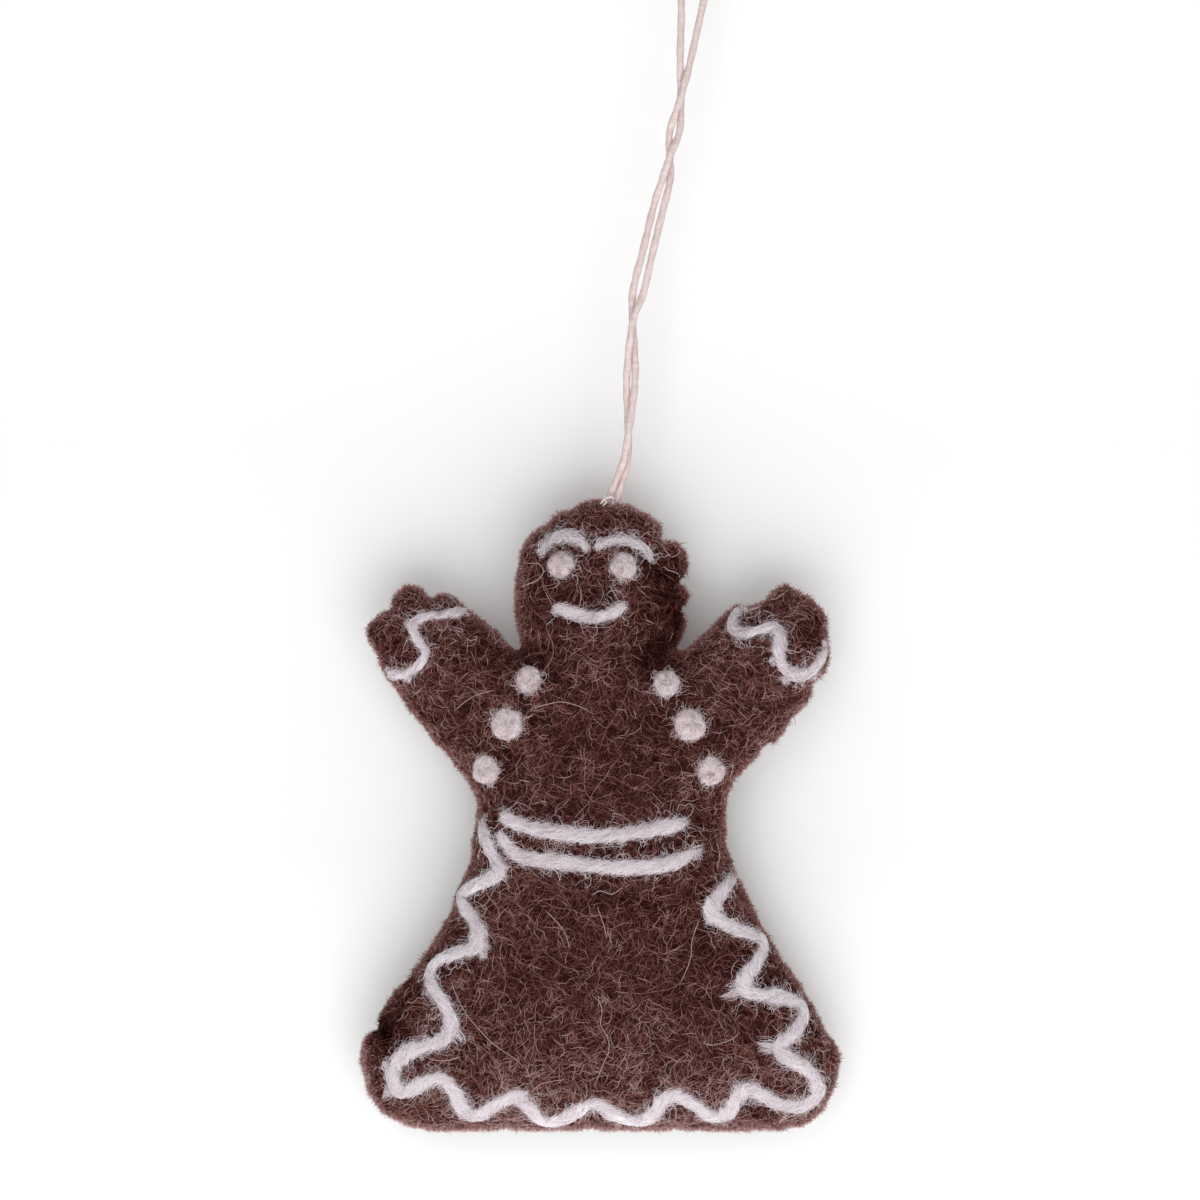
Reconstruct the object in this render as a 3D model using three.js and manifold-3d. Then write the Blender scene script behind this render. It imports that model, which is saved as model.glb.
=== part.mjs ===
// Stuffed felt figure with white wool trims, hung from a doubled cotton cord.
// Millimetres, +Z up, the face looks along -Y, and the hook bears on the loop at the origin.

import * as THREE from "three";
import { mergeVertices } from "three/addons/utils/BufferGeometryUtils.js";
import Module from "manifold-3d";

const wasm = await Module();
wasm.setup();

// Felt outline: heights of the skirt, the bodice, the head and the raised hands, and full widths
const skirtHeight = 53.2;
const bodiceHeight = 26.2;
const headHeight = 26.1;
const handRise = 11.8;
const headWidth = 29.5;
const neckWidth = 24.2;
const armSpan = 77;
const waistWidth = 40.6;
const hemWidth = 80;

// Felt panels and their overcast edge
const feltThickness = 2;
const seamGap = 0.3;
const edgeRound = 1.2;
const rimWidth = 1;
const seamAllowance = 2.4;
const stitchPitch = 4.7;
const stitchDraw = 0.45;
const panelPointSpacing = 5;
const liningPointSpacing = 7;

// Stuffing: how far it lifts each panel, and how quickly it fills out from the rim
const frontCrown = 6.4;
const backCrown = 5.6;
const fillLength = 6.5;
const stuffingClearance = 0.8;
const stuffingInset = 1.6;
const stuffingEdge = 0.5;

// White wool, needled onto the front
const woolClearance = 0.3;
const woolRise = 1;
const dotRise = 1.2;
const buttonDiameter = 5.4;
const beltWidth = 2.5;
const cuffWidth = 1.8;
const skirtTrimWidth = 2.4;
const trimEndLength = 2.4;
const woolStep = 2.1;

// Hanging cord
const cordDiameter = 1.15;
const cordSteps = 80;
const cordClearance = 0.4;
const knotDiameter = 4.6;
const knotHeight = 4.4;
const knotGap = 0.3;
const knotTailLength = 2.2;
const headTopBelowEye = 89.3;
const figureLeftOfEye = 15.6;
const strandLift = 0.8;

// Counts and unit shapes
const cordSides = 8;
const dotSides = 14;
const knotSides = 14;
const crownPower = 0.62;
const edgeWallShare = 0.55;
const stitchVariation = 0.5;
const crowdedShare = 0.9;
const latticeWobbleShare = 0.01;
const stuffingMarginShare = 0.8;
const endThicknessShare = 0.1;
const knotGrooveShare = 0.84;
const outerWrapShare = 0.94;
const wrapShoulderShare = 0.3;
const stepsPerFillLength = 13;
const relaxRounds = 260;
const overRelaxation = 1.85;
const outerTriangleReach = 20;

// Shares of the head's height that the wool of the face takes
const eyeSizeShare = 0.172;
const browWidthShare = 0.096;
const browEndShare = 0.16;
const smileWidthShare = 0.107;
const smileEndShare = 0.19;

// Sizes that follow from those above
const waistHeight = skirtHeight;
const neckHeight = waistHeight + bodiceHeight;
const headTopHeight = neckHeight + headHeight;
const handTopHeight = neckHeight + handRise;
const fieldStep = fillLength / stepsPerFillLength;
const eyeDiameter = eyeSizeShare * headHeight;
const browWidth = browWidthShare * headHeight;
const browEndLength = browEndShare * headHeight;
const smileWidth = smileWidthShare * headHeight;
const smileEndLength = smileEndShare * headHeight;

// Outline points, each a share of the way across and up from one corner to another
const rightHemShares = [[0.25, 0], [0.5, 0], [0.75, 0], [0.83, 0.01], [0.91, 0.05], [0.965, 0.112]];
const rightSkirtShares = [
  [0.99, 0.185], [0.99, 0.25], [0.9, 0.305], [0.79, 0.376], [0.65, 0.464], [0.49, 0.551],
  [0.34, 0.642], [0.22, 0.73], [0.12, 0.805], [0.045, 0.877], [0.03, 0.935],
];
const rightUnderarmShares = [
  [0.03, 0], [0.04, 0.085], [0.14, 0.145], [0.27, 0.21], [0.37, 0.275], [0.5, 0.3],
  [0.56, 0.355], [0.68, 0.41], [0.79, 0.485], [0.89, 0.572], [0.985, 0.665],
];
const rightShoulderShares = [
  [0.98, 0.17], [0.98, 0.41], [0.92, 0.7], [0.81, 0.87], [0.7, 1.02], [0.63, 0.95],
  [0.57, 0.8], [0.42, 0.68], [0.35, 0.52], [0.25, 0.39], [0.15, 0.24], [0.1, 0.09],
];
const headShares = [
  [0.82, 0], [0.87, 0.07], [0.95, 0.145], [0.97, 0.22], [0.99, 0.315], [1, 0.432], [0.97, 0.521],
  [0.99, 0.62], [0.9, 0.7], [0.73, 0.77], [0.65, 0.853], [0.43, 0.935], [0.05, 1], [-0.24, 0.975],
  [-0.52, 0.9], [-0.79, 0.77], [-0.92, 0.66], [-0.98, 0.44], [-0.98, 0.29], [-0.92, 0.11], [-0.85, -0.02],
];
const leftShoulderShares = [
  [0.09, 0.08], [0.17, 0.28], [0.28, 0.48], [0.36, 0.62], [0.43, 0.74], [0.47, 0.85], [0.54, 0.91],
  [0.61, 0.88], [0.68, 0.97], [0.76, 0.98], [0.84, 0.91], [0.88, 0.74], [0.94, 0.62], [1, 0.47], [1.01, 0.27],
];
const leftUnderarmShares = [
  [0.985, 0.725], [0.94, 0.665], [0.88, 0.6], [0.79, 0.56], [0.745, 0.495], [0.64, 0.438],
  [0.53, 0.388], [0.44, 0.32], [0.31, 0.25], [0.15, 0.16], [0.05, 0.093], [0, 0.02],
];
const leftSkirtShares = [
  [0.05, 0.95], [0.06, 0.855], [0.11, 0.805], [0.18, 0.76], [0.225, 0.7], [0.34, 0.627], [0.48, 0.551],
  [0.635, 0.47], [0.785, 0.414], [0.87, 0.335], [0.98, 0.285], [1.005, 0.22], [0.98, 0.16],
];
const leftHemShares = [[0.965, 0.1], [0.925, 0.06], [0.84, 0.025], [0.755, 0.003], [0.5, 0], [0.25, 0]];

// Places of the wool on the front, shares of the size named where each is laid
const leftEyeShare = [-0.441, 0.571];
const rightEyeShare = [0.249, 0.559];
const leftBrowShares = [[-0.655, 0.655], [-0.576, 0.722], [-0.407, 0.755], [-0.237, 0.728], [-0.158, 0.67]];
const rightBrowShares = [
  [-0.056, 0.681], [0.079, 0.719], [0.226, 0.732], [0.384, 0.709], [0.497, 0.658], [0.565, 0.604],
];
const smileShares = [[-0.55, 0.312], [-0.328, 0.264], [-0.102, 0.238], [0.11, 0.26], [0.3, 0.32]];
const upperBeltShares = [
  [-0.81, 0.98], [-0.539, 0.946], [-0.188, 0.927], [0.016, 0.924], [0.376, 0.94], [0.735, 0.976],
];
const lowerBeltShares = [
  [-0.83, 0.929], [-0.735, 0.88], [-0.613, 0.855], [-0.359, 0.843], [0.016, 0.827], [0.376, 0.827],
  [0.588, 0.843], [0.8, 0.882],
];
const leftCuffShares = [
  [-0.571, 0.881], [-0.68, 0.863], [-0.762, 0.854], [-0.814, 0.815], [-0.797, 0.753], [-0.758, 0.705],
  [-0.779, 0.657], [-0.84, 0.609], [-0.91, 0.607],
];
const rightCuffShares = [
  [0.615, 0.894], [0.575, 0.85], [0.573, 0.8], [0.623, 0.78], [0.688, 0.793], [0.745, 0.808],
  [0.773, 0.77], [0.771, 0.701], [0.786, 0.638], [0.844, 0.602], [0.905, 0.618], [0.945, 0.666],
];
const skirtTrimShares = [
  [-0.49, 0.965], [-0.475, 0.905], [-0.435, 0.845], [-0.425, 0.807], [-0.492, 0.777], [-0.573, 0.743],
  [-0.571, 0.708], [-0.529, 0.661], [-0.508, 0.617], [-0.521, 0.575], [-0.588, 0.558], [-0.671, 0.533],
  [-0.712, 0.492], [-0.696, 0.442], [-0.646, 0.392], [-0.625, 0.341], [-0.648, 0.293], [-0.721, 0.269],
  [-0.804, 0.247], [-0.854, 0.21], [-0.863, 0.16], [-0.83, 0.124], [-0.763, 0.144], [-0.704, 0.163],
  [-0.646, 0.157], [-0.6, 0.11], [-0.562, 0.06], [-0.504, 0.053], [-0.446, 0.081], [-0.354, 0.11],
  [-0.304, 0.078], [-0.25, 0.038], [-0.188, 0.034], [-0.121, 0.055], [-0.029, 0.091], [0.046, 0.058],
  [0.142, 0.034], [0.212, 0.052], [0.254, 0.094], [0.306, 0.114], [0.379, 0.088], [0.454, 0.05],
  [0.521, 0.054], [0.562, 0.1], [0.608, 0.136], [0.671, 0.113], [0.746, 0.085], [0.829, 0.078],
  [0.893, 0.11], [0.893, 0.16], [0.838, 0.204], [0.765, 0.235], [0.742, 0.27], [0.8, 0.304],
  [0.836, 0.354], [0.828, 0.393], [0.767, 0.415], [0.683, 0.422], [0.604, 0.436], [0.596, 0.472],
  [0.638, 0.52], [0.669, 0.567], [0.655, 0.603], [0.588, 0.623], [0.496, 0.658], [0.458, 0.696],
  [0.504, 0.752], [0.55, 0.796],
];

// Buttons, from the top: width and height as shares of the diameter, and place on the bodice
const leftButtons = [
  { name: "button_left_upper", sizeShare: [0.815, 0.889], placeShare: [-0.588, 0.832] },
  { name: "button_left_middle", sizeShare: [1, 1], placeShare: [-0.768, 0.558] },
  { name: "button_left_lower", sizeShare: [0.907, 0.944], placeShare: [-0.94, 0.266] },
];
const rightButtons = [
  { name: "button_right_upper", sizeShare: [0.833, 0.833], placeShare: [0.539, 0.813] },
  { name: "button_right_middle", sizeShare: [1.02, 1], placeShare: [0.727, 0.552] },
  { name: "button_right_lower", sizeShare: [0.944, 0.944], placeShare: [0.891, 0.26] },
];

// Route of the cord: up from the knot, round the eye that the hook bears on, and down again.
// Shares of the eye's offset to the side, of the strands' lift where they cross, and of the drop to the head
const cordRouteShares = [
  [-0.929, 0, -1.0806], [-0.91, 0, -1.0022], [-0.763, -0.75, -0.9328], [-0.686, -1, -0.8544],
  [-0.635, 0, -0.7727], [-0.66, 1, -0.6719], [-0.66, 0, -0.6159], [-0.551, 0, -0.5375],
  [-0.436, 0, -0.4546], [-0.346, -0.625, -0.4065], [-0.263, -1, -0.3617], [-0.16, 0, -0.3147],
  [-0.147, 1, -0.2531], [-0.154, 0, -0.1792], [-0.141, 0, -0.0795], [-0.167, 0, -0.0258],
  [-0.115, 0, -0.0011], [0, 0, 0.0067], [0.115, 0, -0.0011], [0.167, 0, -0.0258],
  [0.09, 0, -0.0795], [-0.038, 0, -0.1792], [-0.147, -1, -0.2531], [-0.263, 0, -0.3147],
  [-0.263, 1, -0.3617], [-0.263, 0.625, -0.4065], [-0.327, 0, -0.4546], [-0.442, 0, -0.5375],
  [-0.545, 0, -0.6159], [-0.66, -1, -0.6719], [-0.724, 0, -0.7727], [-0.712, 1, -0.8544],
  [-0.718, 0.75, -0.9328], [-0.821, 0, -1.0022], [-0.833, 0, -1.0806],
];

// Colours, and the shares of roughness
const felt = { color: 0x4b302b, roughness: 0.95, metalness: 0 };
const whiteWool = { color: 0xdccfd1, roughness: 0.95, metalness: 0 };
const rawWool = { color: 0xe9e4dc, roughness: 1, metalness: 0 };
const cotton = { color: 0xe2d4ce, roughness: 0.85, metalness: 0 };

// Small tools for points and meshes

const flat = (x, z) => new THREE.Vector2(x, z);

function placeBetween(start, end, shares) {
  return shares.map(([across, up]) => flat(
    THREE.MathUtils.lerp(start.x, end.x, across),
    THREE.MathUtils.lerp(start.y, end.y, up),
  ));
}

function gapToSegment(point, start, end) {
  const along = end.clone().sub(start);
  const reach = point.clone().sub(start).dot(along) / along.lengthSq();
  return point.distanceTo(start.clone().addScaledVector(along, THREE.MathUtils.clamp(reach, 0, 1)));
}

function gapToOutline(point, outline) {
  const gaps = outline.map((start, i) => gapToSegment(point, start, outline[(i + 1) % outline.length]));
  return Math.min(...gaps);
}

function isInside(point, outline) {
  let inside = false;
  outline.forEach((a, i) => {
    const b = outline[(i + 1) % outline.length];
    const crosses = (a.y > point.y) !== (b.y > point.y);
    if (crosses && point.x < ((b.x - a.x) * (point.y - a.y)) / (b.y - a.y) + a.x) inside = !inside;
  });
  return inside;
}

// Points moved square to the outline, inwards for a positive distance
function insetPoint(outline, i, distance) {
  const before = outline[(i + outline.length - 1) % outline.length];
  const after = outline[(i + 1) % outline.length];
  const along = after.clone().sub(before).normalize();
  return outline[i].clone().add(flat(-along.y, along.x).multiplyScalar(distance));
}

// Every few outline points moved inwards, less those that crowd in a tight corner
function insetRing(outline, distance, every, spacing) {
  const ring = [];
  outline.forEach((_, i) => {
    if (i % every) return;
    const point = insetPoint(outline, i, distance);
    const crowded = ring.some((other) => other.distanceTo(point) < spacing);
    const deep = isInside(point, outline) && gapToOutline(point, outline) > crowdedShare * distance;
    if (deep && !crowded) ring.push(point);
  });
  return ring;
}

// Rows of points inside an outline, a touch uneven so that no four lie on one circle
function latticeInside(outline, spacing, margin) {
  const box = new THREE.Box2().setFromPoints(outline);
  const rowHeight = spacing * Math.sqrt(0.75);
  const points = [];
  for (let row = 0; box.min.y + row * rowHeight < box.max.y; row += 1) {
    const shift = (row % 2) * spacing / 2;
    for (let column = 0; box.min.x + column * spacing < box.max.x; column += 1) {
      const point = flat(box.min.x + shift + column * spacing, box.min.y + row * rowHeight);
      const wobble = flat(Math.sin(row + 2 * column), Math.cos(2 * row + column));
      point.addScaledVector(wobble, latticeWobbleShare * spacing);
      if (isInside(point, outline) && gapToOutline(point, outline) > margin) points.push(point);
    }
  }
  return points;
}

function circleThrough(a, b, c) {
  const double = 2 * (a.x * (b.y - c.y) + b.x * (c.y - a.y) + c.x * (a.y - b.y));
  const [aa, bb, cc] = [a.lengthSq(), b.lengthSq(), c.lengthSq()];
  const centre = flat(
    (aa * (b.y - c.y) + bb * (c.y - a.y) + cc * (a.y - b.y)) / double,
    (aa * (c.x - b.x) + bb * (a.x - c.x) + cc * (b.x - a.x)) / double,
  );
  return { centre, radius: centre.distanceTo(a) };
}

// Delaunay triangles over the points, added one at a time, anticlockwise from the front
function triangulate(points) {
  const box = new THREE.Box2().setFromPoints(points);
  const middle = box.getCenter(flat(0, 0));
  const reach = outerTriangleReach * box.getSize(flat(0, 0)).length();
  const corners = [0, 1, 2].map((k) => {
    const turn = (k * 2 * Math.PI) / 3;
    return middle.clone().add(flat(Math.cos(turn), Math.sin(turn)).multiplyScalar(reach));
  });
  const all = [...points, ...corners];
  const triangle = (a, b, c) => ({ corners: [a, b, c], circle: circleThrough(all[a], all[b], all[c]) });
  let triangles = [triangle(points.length, points.length + 1, points.length + 2)];
  points.forEach((point, index) => {
    const hit = triangles.filter(({ circle }) => circle.centre.distanceTo(point) < circle.radius);
    const edges = hit.flatMap(({ corners: [a, b, c] }) => [[a, b], [b, c], [c, a]]);
    const rim = edges.filter(([a, b]) => !edges.some(([c, d]) => a === d && b === c));
    triangles = triangles.filter((one) => !hit.includes(one));
    triangles.push(...rim.map(([a, b]) => triangle(a, b, index)));
  });
  return triangles.map((one) => one.corners).filter((one) => one.every((k) => k < points.length));
}

function closedBody(corners) {
  const values = corners.flatMap((p) => [p.x, p.y, p.z]);
  const geometry = new THREE.BufferGeometry();
  geometry.setAttribute("position", new THREE.Float32BufferAttribute(values, 3));
  return facingOut(geometry);
}

// Shared corners are merged, and a body that came out inside out is turned
function facingOut(geometry) {
  const bare = geometry.clone();
  bare.deleteAttribute("normal");
  bare.deleteAttribute("uv");
  const merged = mergeVertices(bare);
  const index = Array.from(merged.index.array);
  const corner = (k) => new THREE.Vector3().fromBufferAttribute(merged.attributes.position, index[k]);
  const kept = [];
  let volume = 0;
  for (let k = 0; k < index.length; k += 3) {
    if (new Set(index.slice(k, k + 3)).size < 3) continue;
    kept.push(index[k], index[k + 1], index[k + 2]);
    volume += corner(k).dot(corner(k + 1).cross(corner(k + 2)));
  }
  merged.setIndex(volume < 0 ? kept.reverse() : kept);
  merged.computeVertexNormals();
  return merged;
}

function toSolid(geometry) {
  const mesh = facingOut(geometry);
  return new wasm.Manifold(new wasm.Mesh({
    numProp: 3,
    vertProperties: Float32Array.from(mesh.attributes.position.array),
    triVerts: Uint32Array.from(mesh.index.array),
  }));
}

function fromSolid(solid) {
  const { vertProperties, triVerts } = solid.getMesh();
  const geometry = new THREE.BufferGeometry();
  geometry.setAttribute("position", new THREE.Float32BufferAttribute(vertProperties, 3));
  geometry.setIndex(Array.from(triVerts));
  geometry.computeVertexNormals();
  return geometry;
}

// Quads between two rings of as many points, as loose triangle corners
function bandBetween(ring, next) {
  return ring.flatMap((point, i) => {
    const j = (i + 1) % ring.length;
    return [point, ring[j], next[j], point, next[j], next[i]];
  });
}

// Outline of the figure, with the edge drawn in at each stitch
function feltOutline() {
  const neckRight = flat(neckWidth / 2, neckHeight);
  const neckLeft = flat(-neckWidth / 2, neckHeight);
  const handRight = flat(armSpan / 2, handTopHeight);
  const handLeft = flat(-armSpan / 2, handTopHeight);
  const waistRight = flat(waistWidth / 2, waistHeight);
  const waistLeft = flat(-waistWidth / 2, waistHeight);
  const hemRight = flat(hemWidth / 2, waistHeight);
  const hemLeft = flat(-hemWidth / 2, waistHeight);
  const points = [
    ...placeBetween(flat(0, 0), hemRight, rightHemShares),
    ...placeBetween(flat(waistRight.x, 0), hemRight, rightSkirtShares),
    ...placeBetween(waistRight, handRight, rightUnderarmShares),
    ...placeBetween(neckRight, handRight, rightShoulderShares),
    ...placeBetween(flat(0, neckHeight), flat(headWidth / 2, headTopHeight), headShares),
    ...placeBetween(neckLeft, handLeft, leftShoulderShares),
    ...placeBetween(waistLeft, handLeft, leftUnderarmShares),
    ...placeBetween(flat(waistLeft.x, 0), hemLeft, leftSkirtShares),
    ...placeBetween(flat(0, 0), hemLeft, leftHemShares),
  ];
  const curve = new THREE.CatmullRomCurve3(points.map((p) => new THREE.Vector3(p.x, p.y, 0)), true);
  const stitches = Math.round(curve.getLength() / stitchPitch);
  const smooth = curve.getSpacedPoints(2 * stitches).slice(0, -1).map((p) => flat(p.x, p.y));
  return smooth.map((_, i) => {
    const pull = i % 2 ? 1 + stitchVariation * Math.sin(i) : 0;
    return insetPoint(smooth, i, pull * stitchDraw);
  });
}

// Lift of a skin over even stuffing, 0 at the outline and towards 1 well inside it
function fillField(outline) {
  const box = new THREE.Box2().setFromPoints(outline).expandByScalar(2 * fieldStep);
  const size = box.getSize(flat(0, 0));
  const columns = Math.ceil(size.x / fieldStep) + 1;
  const rows = Math.ceil(size.y / fieldStep) + 1;
  const inside = new Uint8Array(columns * rows);
  const lift = new Float64Array(columns * rows);
  for (let k = 0; k < lift.length; k += 1) {
    const [column, row] = [k % columns, Math.floor(k / columns)];
    const place = flat(box.min.x + column * fieldStep, box.min.y + row * fieldStep);
    inside[k] = isInside(place, outline) ? 1 : 0;
  }
  const settle = (fieldStep / fillLength) ** 2;
  for (let round = 0; round < relaxRounds; round += 1) {
    for (let k = columns; k < lift.length - columns; k += 1) {
      if (!inside[k]) continue;
      const around = lift[k - 1] + lift[k + 1] + lift[k - columns] + lift[k + columns];
      lift[k] += overRelaxation * ((around + settle) / (4 + settle) - lift[k]);
    }
  }
  return (point) => {
    const across = THREE.MathUtils.clamp((point.x - box.min.x) / fieldStep, 0, columns - 2);
    const up = THREE.MathUtils.clamp((point.y - box.min.y) / fieldStep, 0, rows - 2);
    const column = Math.floor(across);
    const row = Math.floor(up);
    const at = (i, j) => lift[(row + j) * columns + column + i];
    const low = THREE.MathUtils.lerp(at(0, 0), at(1, 0), across - column);
    const high = THREE.MathUtils.lerp(at(0, 1), at(1, 1), across - column);
    return THREE.MathUtils.lerp(low, high, up - row);
  };
}

const outline = feltOutline();
const fillAt = fillField(outline);

// Share of the full crown at a point, where the lift starts some way in from the edge
function crownShare(point, startInset) {
  const start = 1 - Math.exp(-startInset / fillLength);
  return Math.max(0, (fillAt(point) - start) / (1 - start)) ** crownPower;
}

// Distance of a panel's outer and inner faces from the seam plane
function outerFace(point, crown) {
  const fromEdge = isInside(point, outline) ? Math.min(gapToOutline(point, outline) / edgeRound, 1) : 0;
  const rounding = edgeWallShare + (1 - edgeWallShare) * Math.sqrt(1 - (1 - fromEdge) ** 2);
  return seamGap / 2 + feltThickness * rounding + crown * crownShare(point, rimWidth);
}

function innerFace(point, crown) {
  return seamGap / 2 + crown * crownShare(point, seamAllowance);
}

const lifted = (point, height) => new THREE.Vector3(point.x, -height, point.y);

// Triangle corners of a sheet that spans a ring and the points inside it
function sheet(ring, inner, heightAt) {
  const points = [...ring, ...inner];
  const raised = points.map((point, i) => lifted(point, heightAt(point, i < ring.length)));
  return triangulate(points).filter((corners) => {
    const middle = corners.reduce((sum, k) => sum.add(points[k]), flat(0, 0)).divideScalar(3);
    return isInside(middle, ring);
  }).flatMap((corners) => corners.map((k) => raised[k]));
}

// Where the lining and the stuffing face each other, both have the same points
const stuffingHeight = (crown) => (point) => innerFace(point, crown) - stuffingClearance;
const stuffingRing = insetRing(outline, seamAllowance + stuffingInset, 1, stitchPitch / 4)
  .filter((point) => stuffingHeight(Math.min(frontCrown, backCrown))(point) > stuffingEdge);
const stuffingPoints = latticeInside(stuffingRing, liningPointSpacing, stuffingMarginShare * stitchPitch);

// Points of the outer face, from its rounded edge inwards
const outlineSpacing = stitchPitch / 2;
const shoulderInset = 2 * edgeRound;
const topRing = outline.map((_, i) => insetPoint(outline, i, edgeRound / 2));
const facePoints = [
  ...insetRing(outline, shoulderInset, 2, outlineSpacing),
  ...latticeInside(outline, panelPointSpacing, shoulderInset + outlineSpacing),
];
const faceSheet = (crown) => sheet(topRing, facePoints, (point) => outerFace(point, crown));

// One felt panel, a sheet of even thickness, flat at the seam and lifted by the stuffing
function feltPanel(crown) {
  const wall = seamGap / 2 + feltThickness * edgeWallShare;
  const seam = outline.map((point) => lifted(point, seamGap / 2));
  const edge = outline.map((point) => lifted(point, wall));
  const top = topRing.map((point) => lifted(point, outerFace(point, crown)));
  const sewnRing = insetRing(outline, seamAllowance, 2, outlineSpacing);
  const lining = [...sewnRing, ...stuffingRing, ...stuffingPoints];
  const inner = sheet(outline, lining, (point, onRing) => (onRing ? seamGap / 2 : innerFace(point, crown)));
  return closedBody([
    ...bandBetween(seam, edge),
    ...bandBetween(edge, top),
    ...faceSheet(crown),
    ...inner.reverse(),
  ]);
}

// Loose wool that fills the space between the panels
function stuffing() {
  const frontHeight = stuffingHeight(frontCrown);
  const backHeight = (point) => -stuffingHeight(backCrown)(point);
  const frontRim = stuffingRing.map((point) => lifted(point, frontHeight(point)));
  const backRim = stuffingRing.map((point) => lifted(point, backHeight(point)));
  return closedBody([
    ...sheet(stuffingRing, stuffingPoints, frontHeight),
    ...bandBetween(backRim, frontRim),
    ...sheet(stuffingRing, stuffingPoints, backHeight).reverse(),
  ]);
}

// Height of the front's own facets, on which the wool is laid
const frontCorners = faceSheet(frontCrown);
const grounded = (corner) => new THREE.Vector3(corner.x, 0, corner.z);

function frontHeight(point) {
  const place = new THREE.Vector3(point.x, 0, point.y);
  const share = new THREE.Vector3();
  for (let k = 0; k < frontCorners.length; k += 3) {
    const [a, b, c] = frontCorners.slice(k, k + 3);
    if (!THREE.Triangle.getBarycoord(place, grounded(a), grounded(b), grounded(c), share)) continue;
    if (Math.min(share.x, share.y, share.z) >= 0) return -(share.x * a.y + share.y * b.y + share.z * c.y);
  }
  return outerFace(point, frontCrown);
}

// The front grown by the clearance, which cuts the underside of the wool to fit
function frontKeepOut() {
  const grown = outline.map((_, i) => insetPoint(outline, i, -woolClearance));
  const wall = seamGap / 2 + feltThickness * edgeWallShare + woolClearance;
  const seam = grown.map((point) => lifted(point, 0));
  const edge = grown.map((point) => lifted(point, wall));
  const top = topRing.map((point) => lifted(point, outerFace(point, frontCrown) + woolClearance));
  const face = sheet(topRing, facePoints, (point) => outerFace(point, frontCrown) + woolClearance);
  const back = sheet(grown, [], () => 0).reverse();
  return toSolid(closedBody([...bandBetween(seam, edge), ...bandBetween(edge, top), ...face, ...back]));
}

const keepOut = frontKeepOut();

function seated(geometry) {
  const pieces = toSolid(geometry).subtract(keepOut).decompose();
  const largest = pieces.reduce((best, one) => (one.volume() > best.volume() ? one : best));
  return fromSolid(largest);
}

// Wool laid along a line on the front, thin at both ends
const woolSectionShares = [
  [-0.4, 1], [0.4, 1], [0.85, 0.6], [1, 0], [1, -0.9], [-1, -0.9], [-1, 0], [-0.85, 0.6],
];

function laidWool(points, width, endLength) {
  const curve = new THREE.CatmullRomCurve3(points.map((p) => new THREE.Vector3(p.x, p.y, 0)));
  const length = curve.getLength();
  const steps = Math.ceil(length / woolStep);
  const rings = [];
  for (let i = 0; i <= steps; i += 1) {
    const centre = curve.getPointAt(i / steps);
    const along = curve.getTangentAt(i / steps);
    const fromEnd = Math.min(i, steps - i) * (length / steps);
    const full = Math.sqrt(Math.min(THREE.MathUtils.lerp(endThicknessShare, 1, fromEnd / endLength), 1));
    rings.push(woolSectionShares.map(([across, up]) => {
      const aside = (across * full * width) / 2;
      const point = flat(centre.x - along.y * aside, centre.y + along.x * aside);
      return lifted(point, frontHeight(point) + woolClearance + up * full * woolRise);
    }));
  }
  const cap = (ring) => ring.slice(1, -1).flatMap((point, i) => [ring[0], point, ring[i + 2]]);
  const sides = rings.slice(1).flatMap((ring, i) => bandBetween(rings[i], ring));
  return seated(closedBody([...cap(rings[0]).reverse(), ...sides, ...cap(rings[steps])]));
}

// Round dot of wool that follows the front, a low dome
const dotProfileShares = [[0, -0.8], [1, -0.8], [1, 0], [0.95, 0.5], [0.72, 0.87], [0.36, 1], [0, 1]];

function woolDot(place, wide, high) {
  const dome = new THREE.LatheGeometry(dotProfileShares.map(([out, up]) => flat(out, up)), dotSides);
  const position = dome.attributes.position;
  for (let i = 0; i < position.count; i += 1) {
    const point = flat(place.x + (position.getX(i) * wide) / 2, place.y + (position.getZ(i) * high) / 2);
    const rise = frontHeight(point) + woolClearance + position.getY(i) * dotRise;
    position.setXYZ(i, point.x, -rise, point.y);
  }
  return seated(dome);
}

const cordRoute = cordRouteShares.map(([across, lift, up]) => (
  [across * figureLeftOfEye, lift * strandLift, up * headTopBelowEye]
));

// The doubled cord is one round tube along its route
function hangingCord() {
  const route = new THREE.CatmullRomCurve3(cordRoute.map((p) => new THREE.Vector3(...p)));
  const section = new THREE.Shape();
  for (let k = 0; k < cordSides; k += 1) {
    const turn = (k * 2 * Math.PI) / cordSides;
    const corner = flat(Math.cos(turn), Math.sin(turn)).multiplyScalar(cordDiameter / 2);
    if (k) section.lineTo(corner.x, corner.y);
    else section.moveTo(corner.x, corner.y);
  }
  return facingOut(new THREE.ExtrudeGeometry(section, { steps: cordSteps, extrudePath: route }));
}

// Where the two tails stand in the figure's own frame
const tailFirst = new THREE.Vector3(...cordRoute[0]);
const tailLast = new THREE.Vector3(...cordRoute[cordRoute.length - 1]);
const figurePlace = new THREE.Vector3(-figureLeftOfEye, 0, -headTopBelowEye - headTopHeight);
const tailMiddle = tailFirst.clone().add(tailLast).divideScalar(2).sub(figurePlace);
const tailSpread = tailFirst.distanceTo(tailLast);

// Upright round bar, and a bar with two round sides that takes both tails
function uprightBar(radius, bottom, top, x, y) {
  const bar = new THREE.CylinderGeometry(radius, radius, top - bottom, knotSides);
  return bar.rotateX(Math.PI / 2).translate(x, y, (top + bottom) / 2);
}

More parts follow.
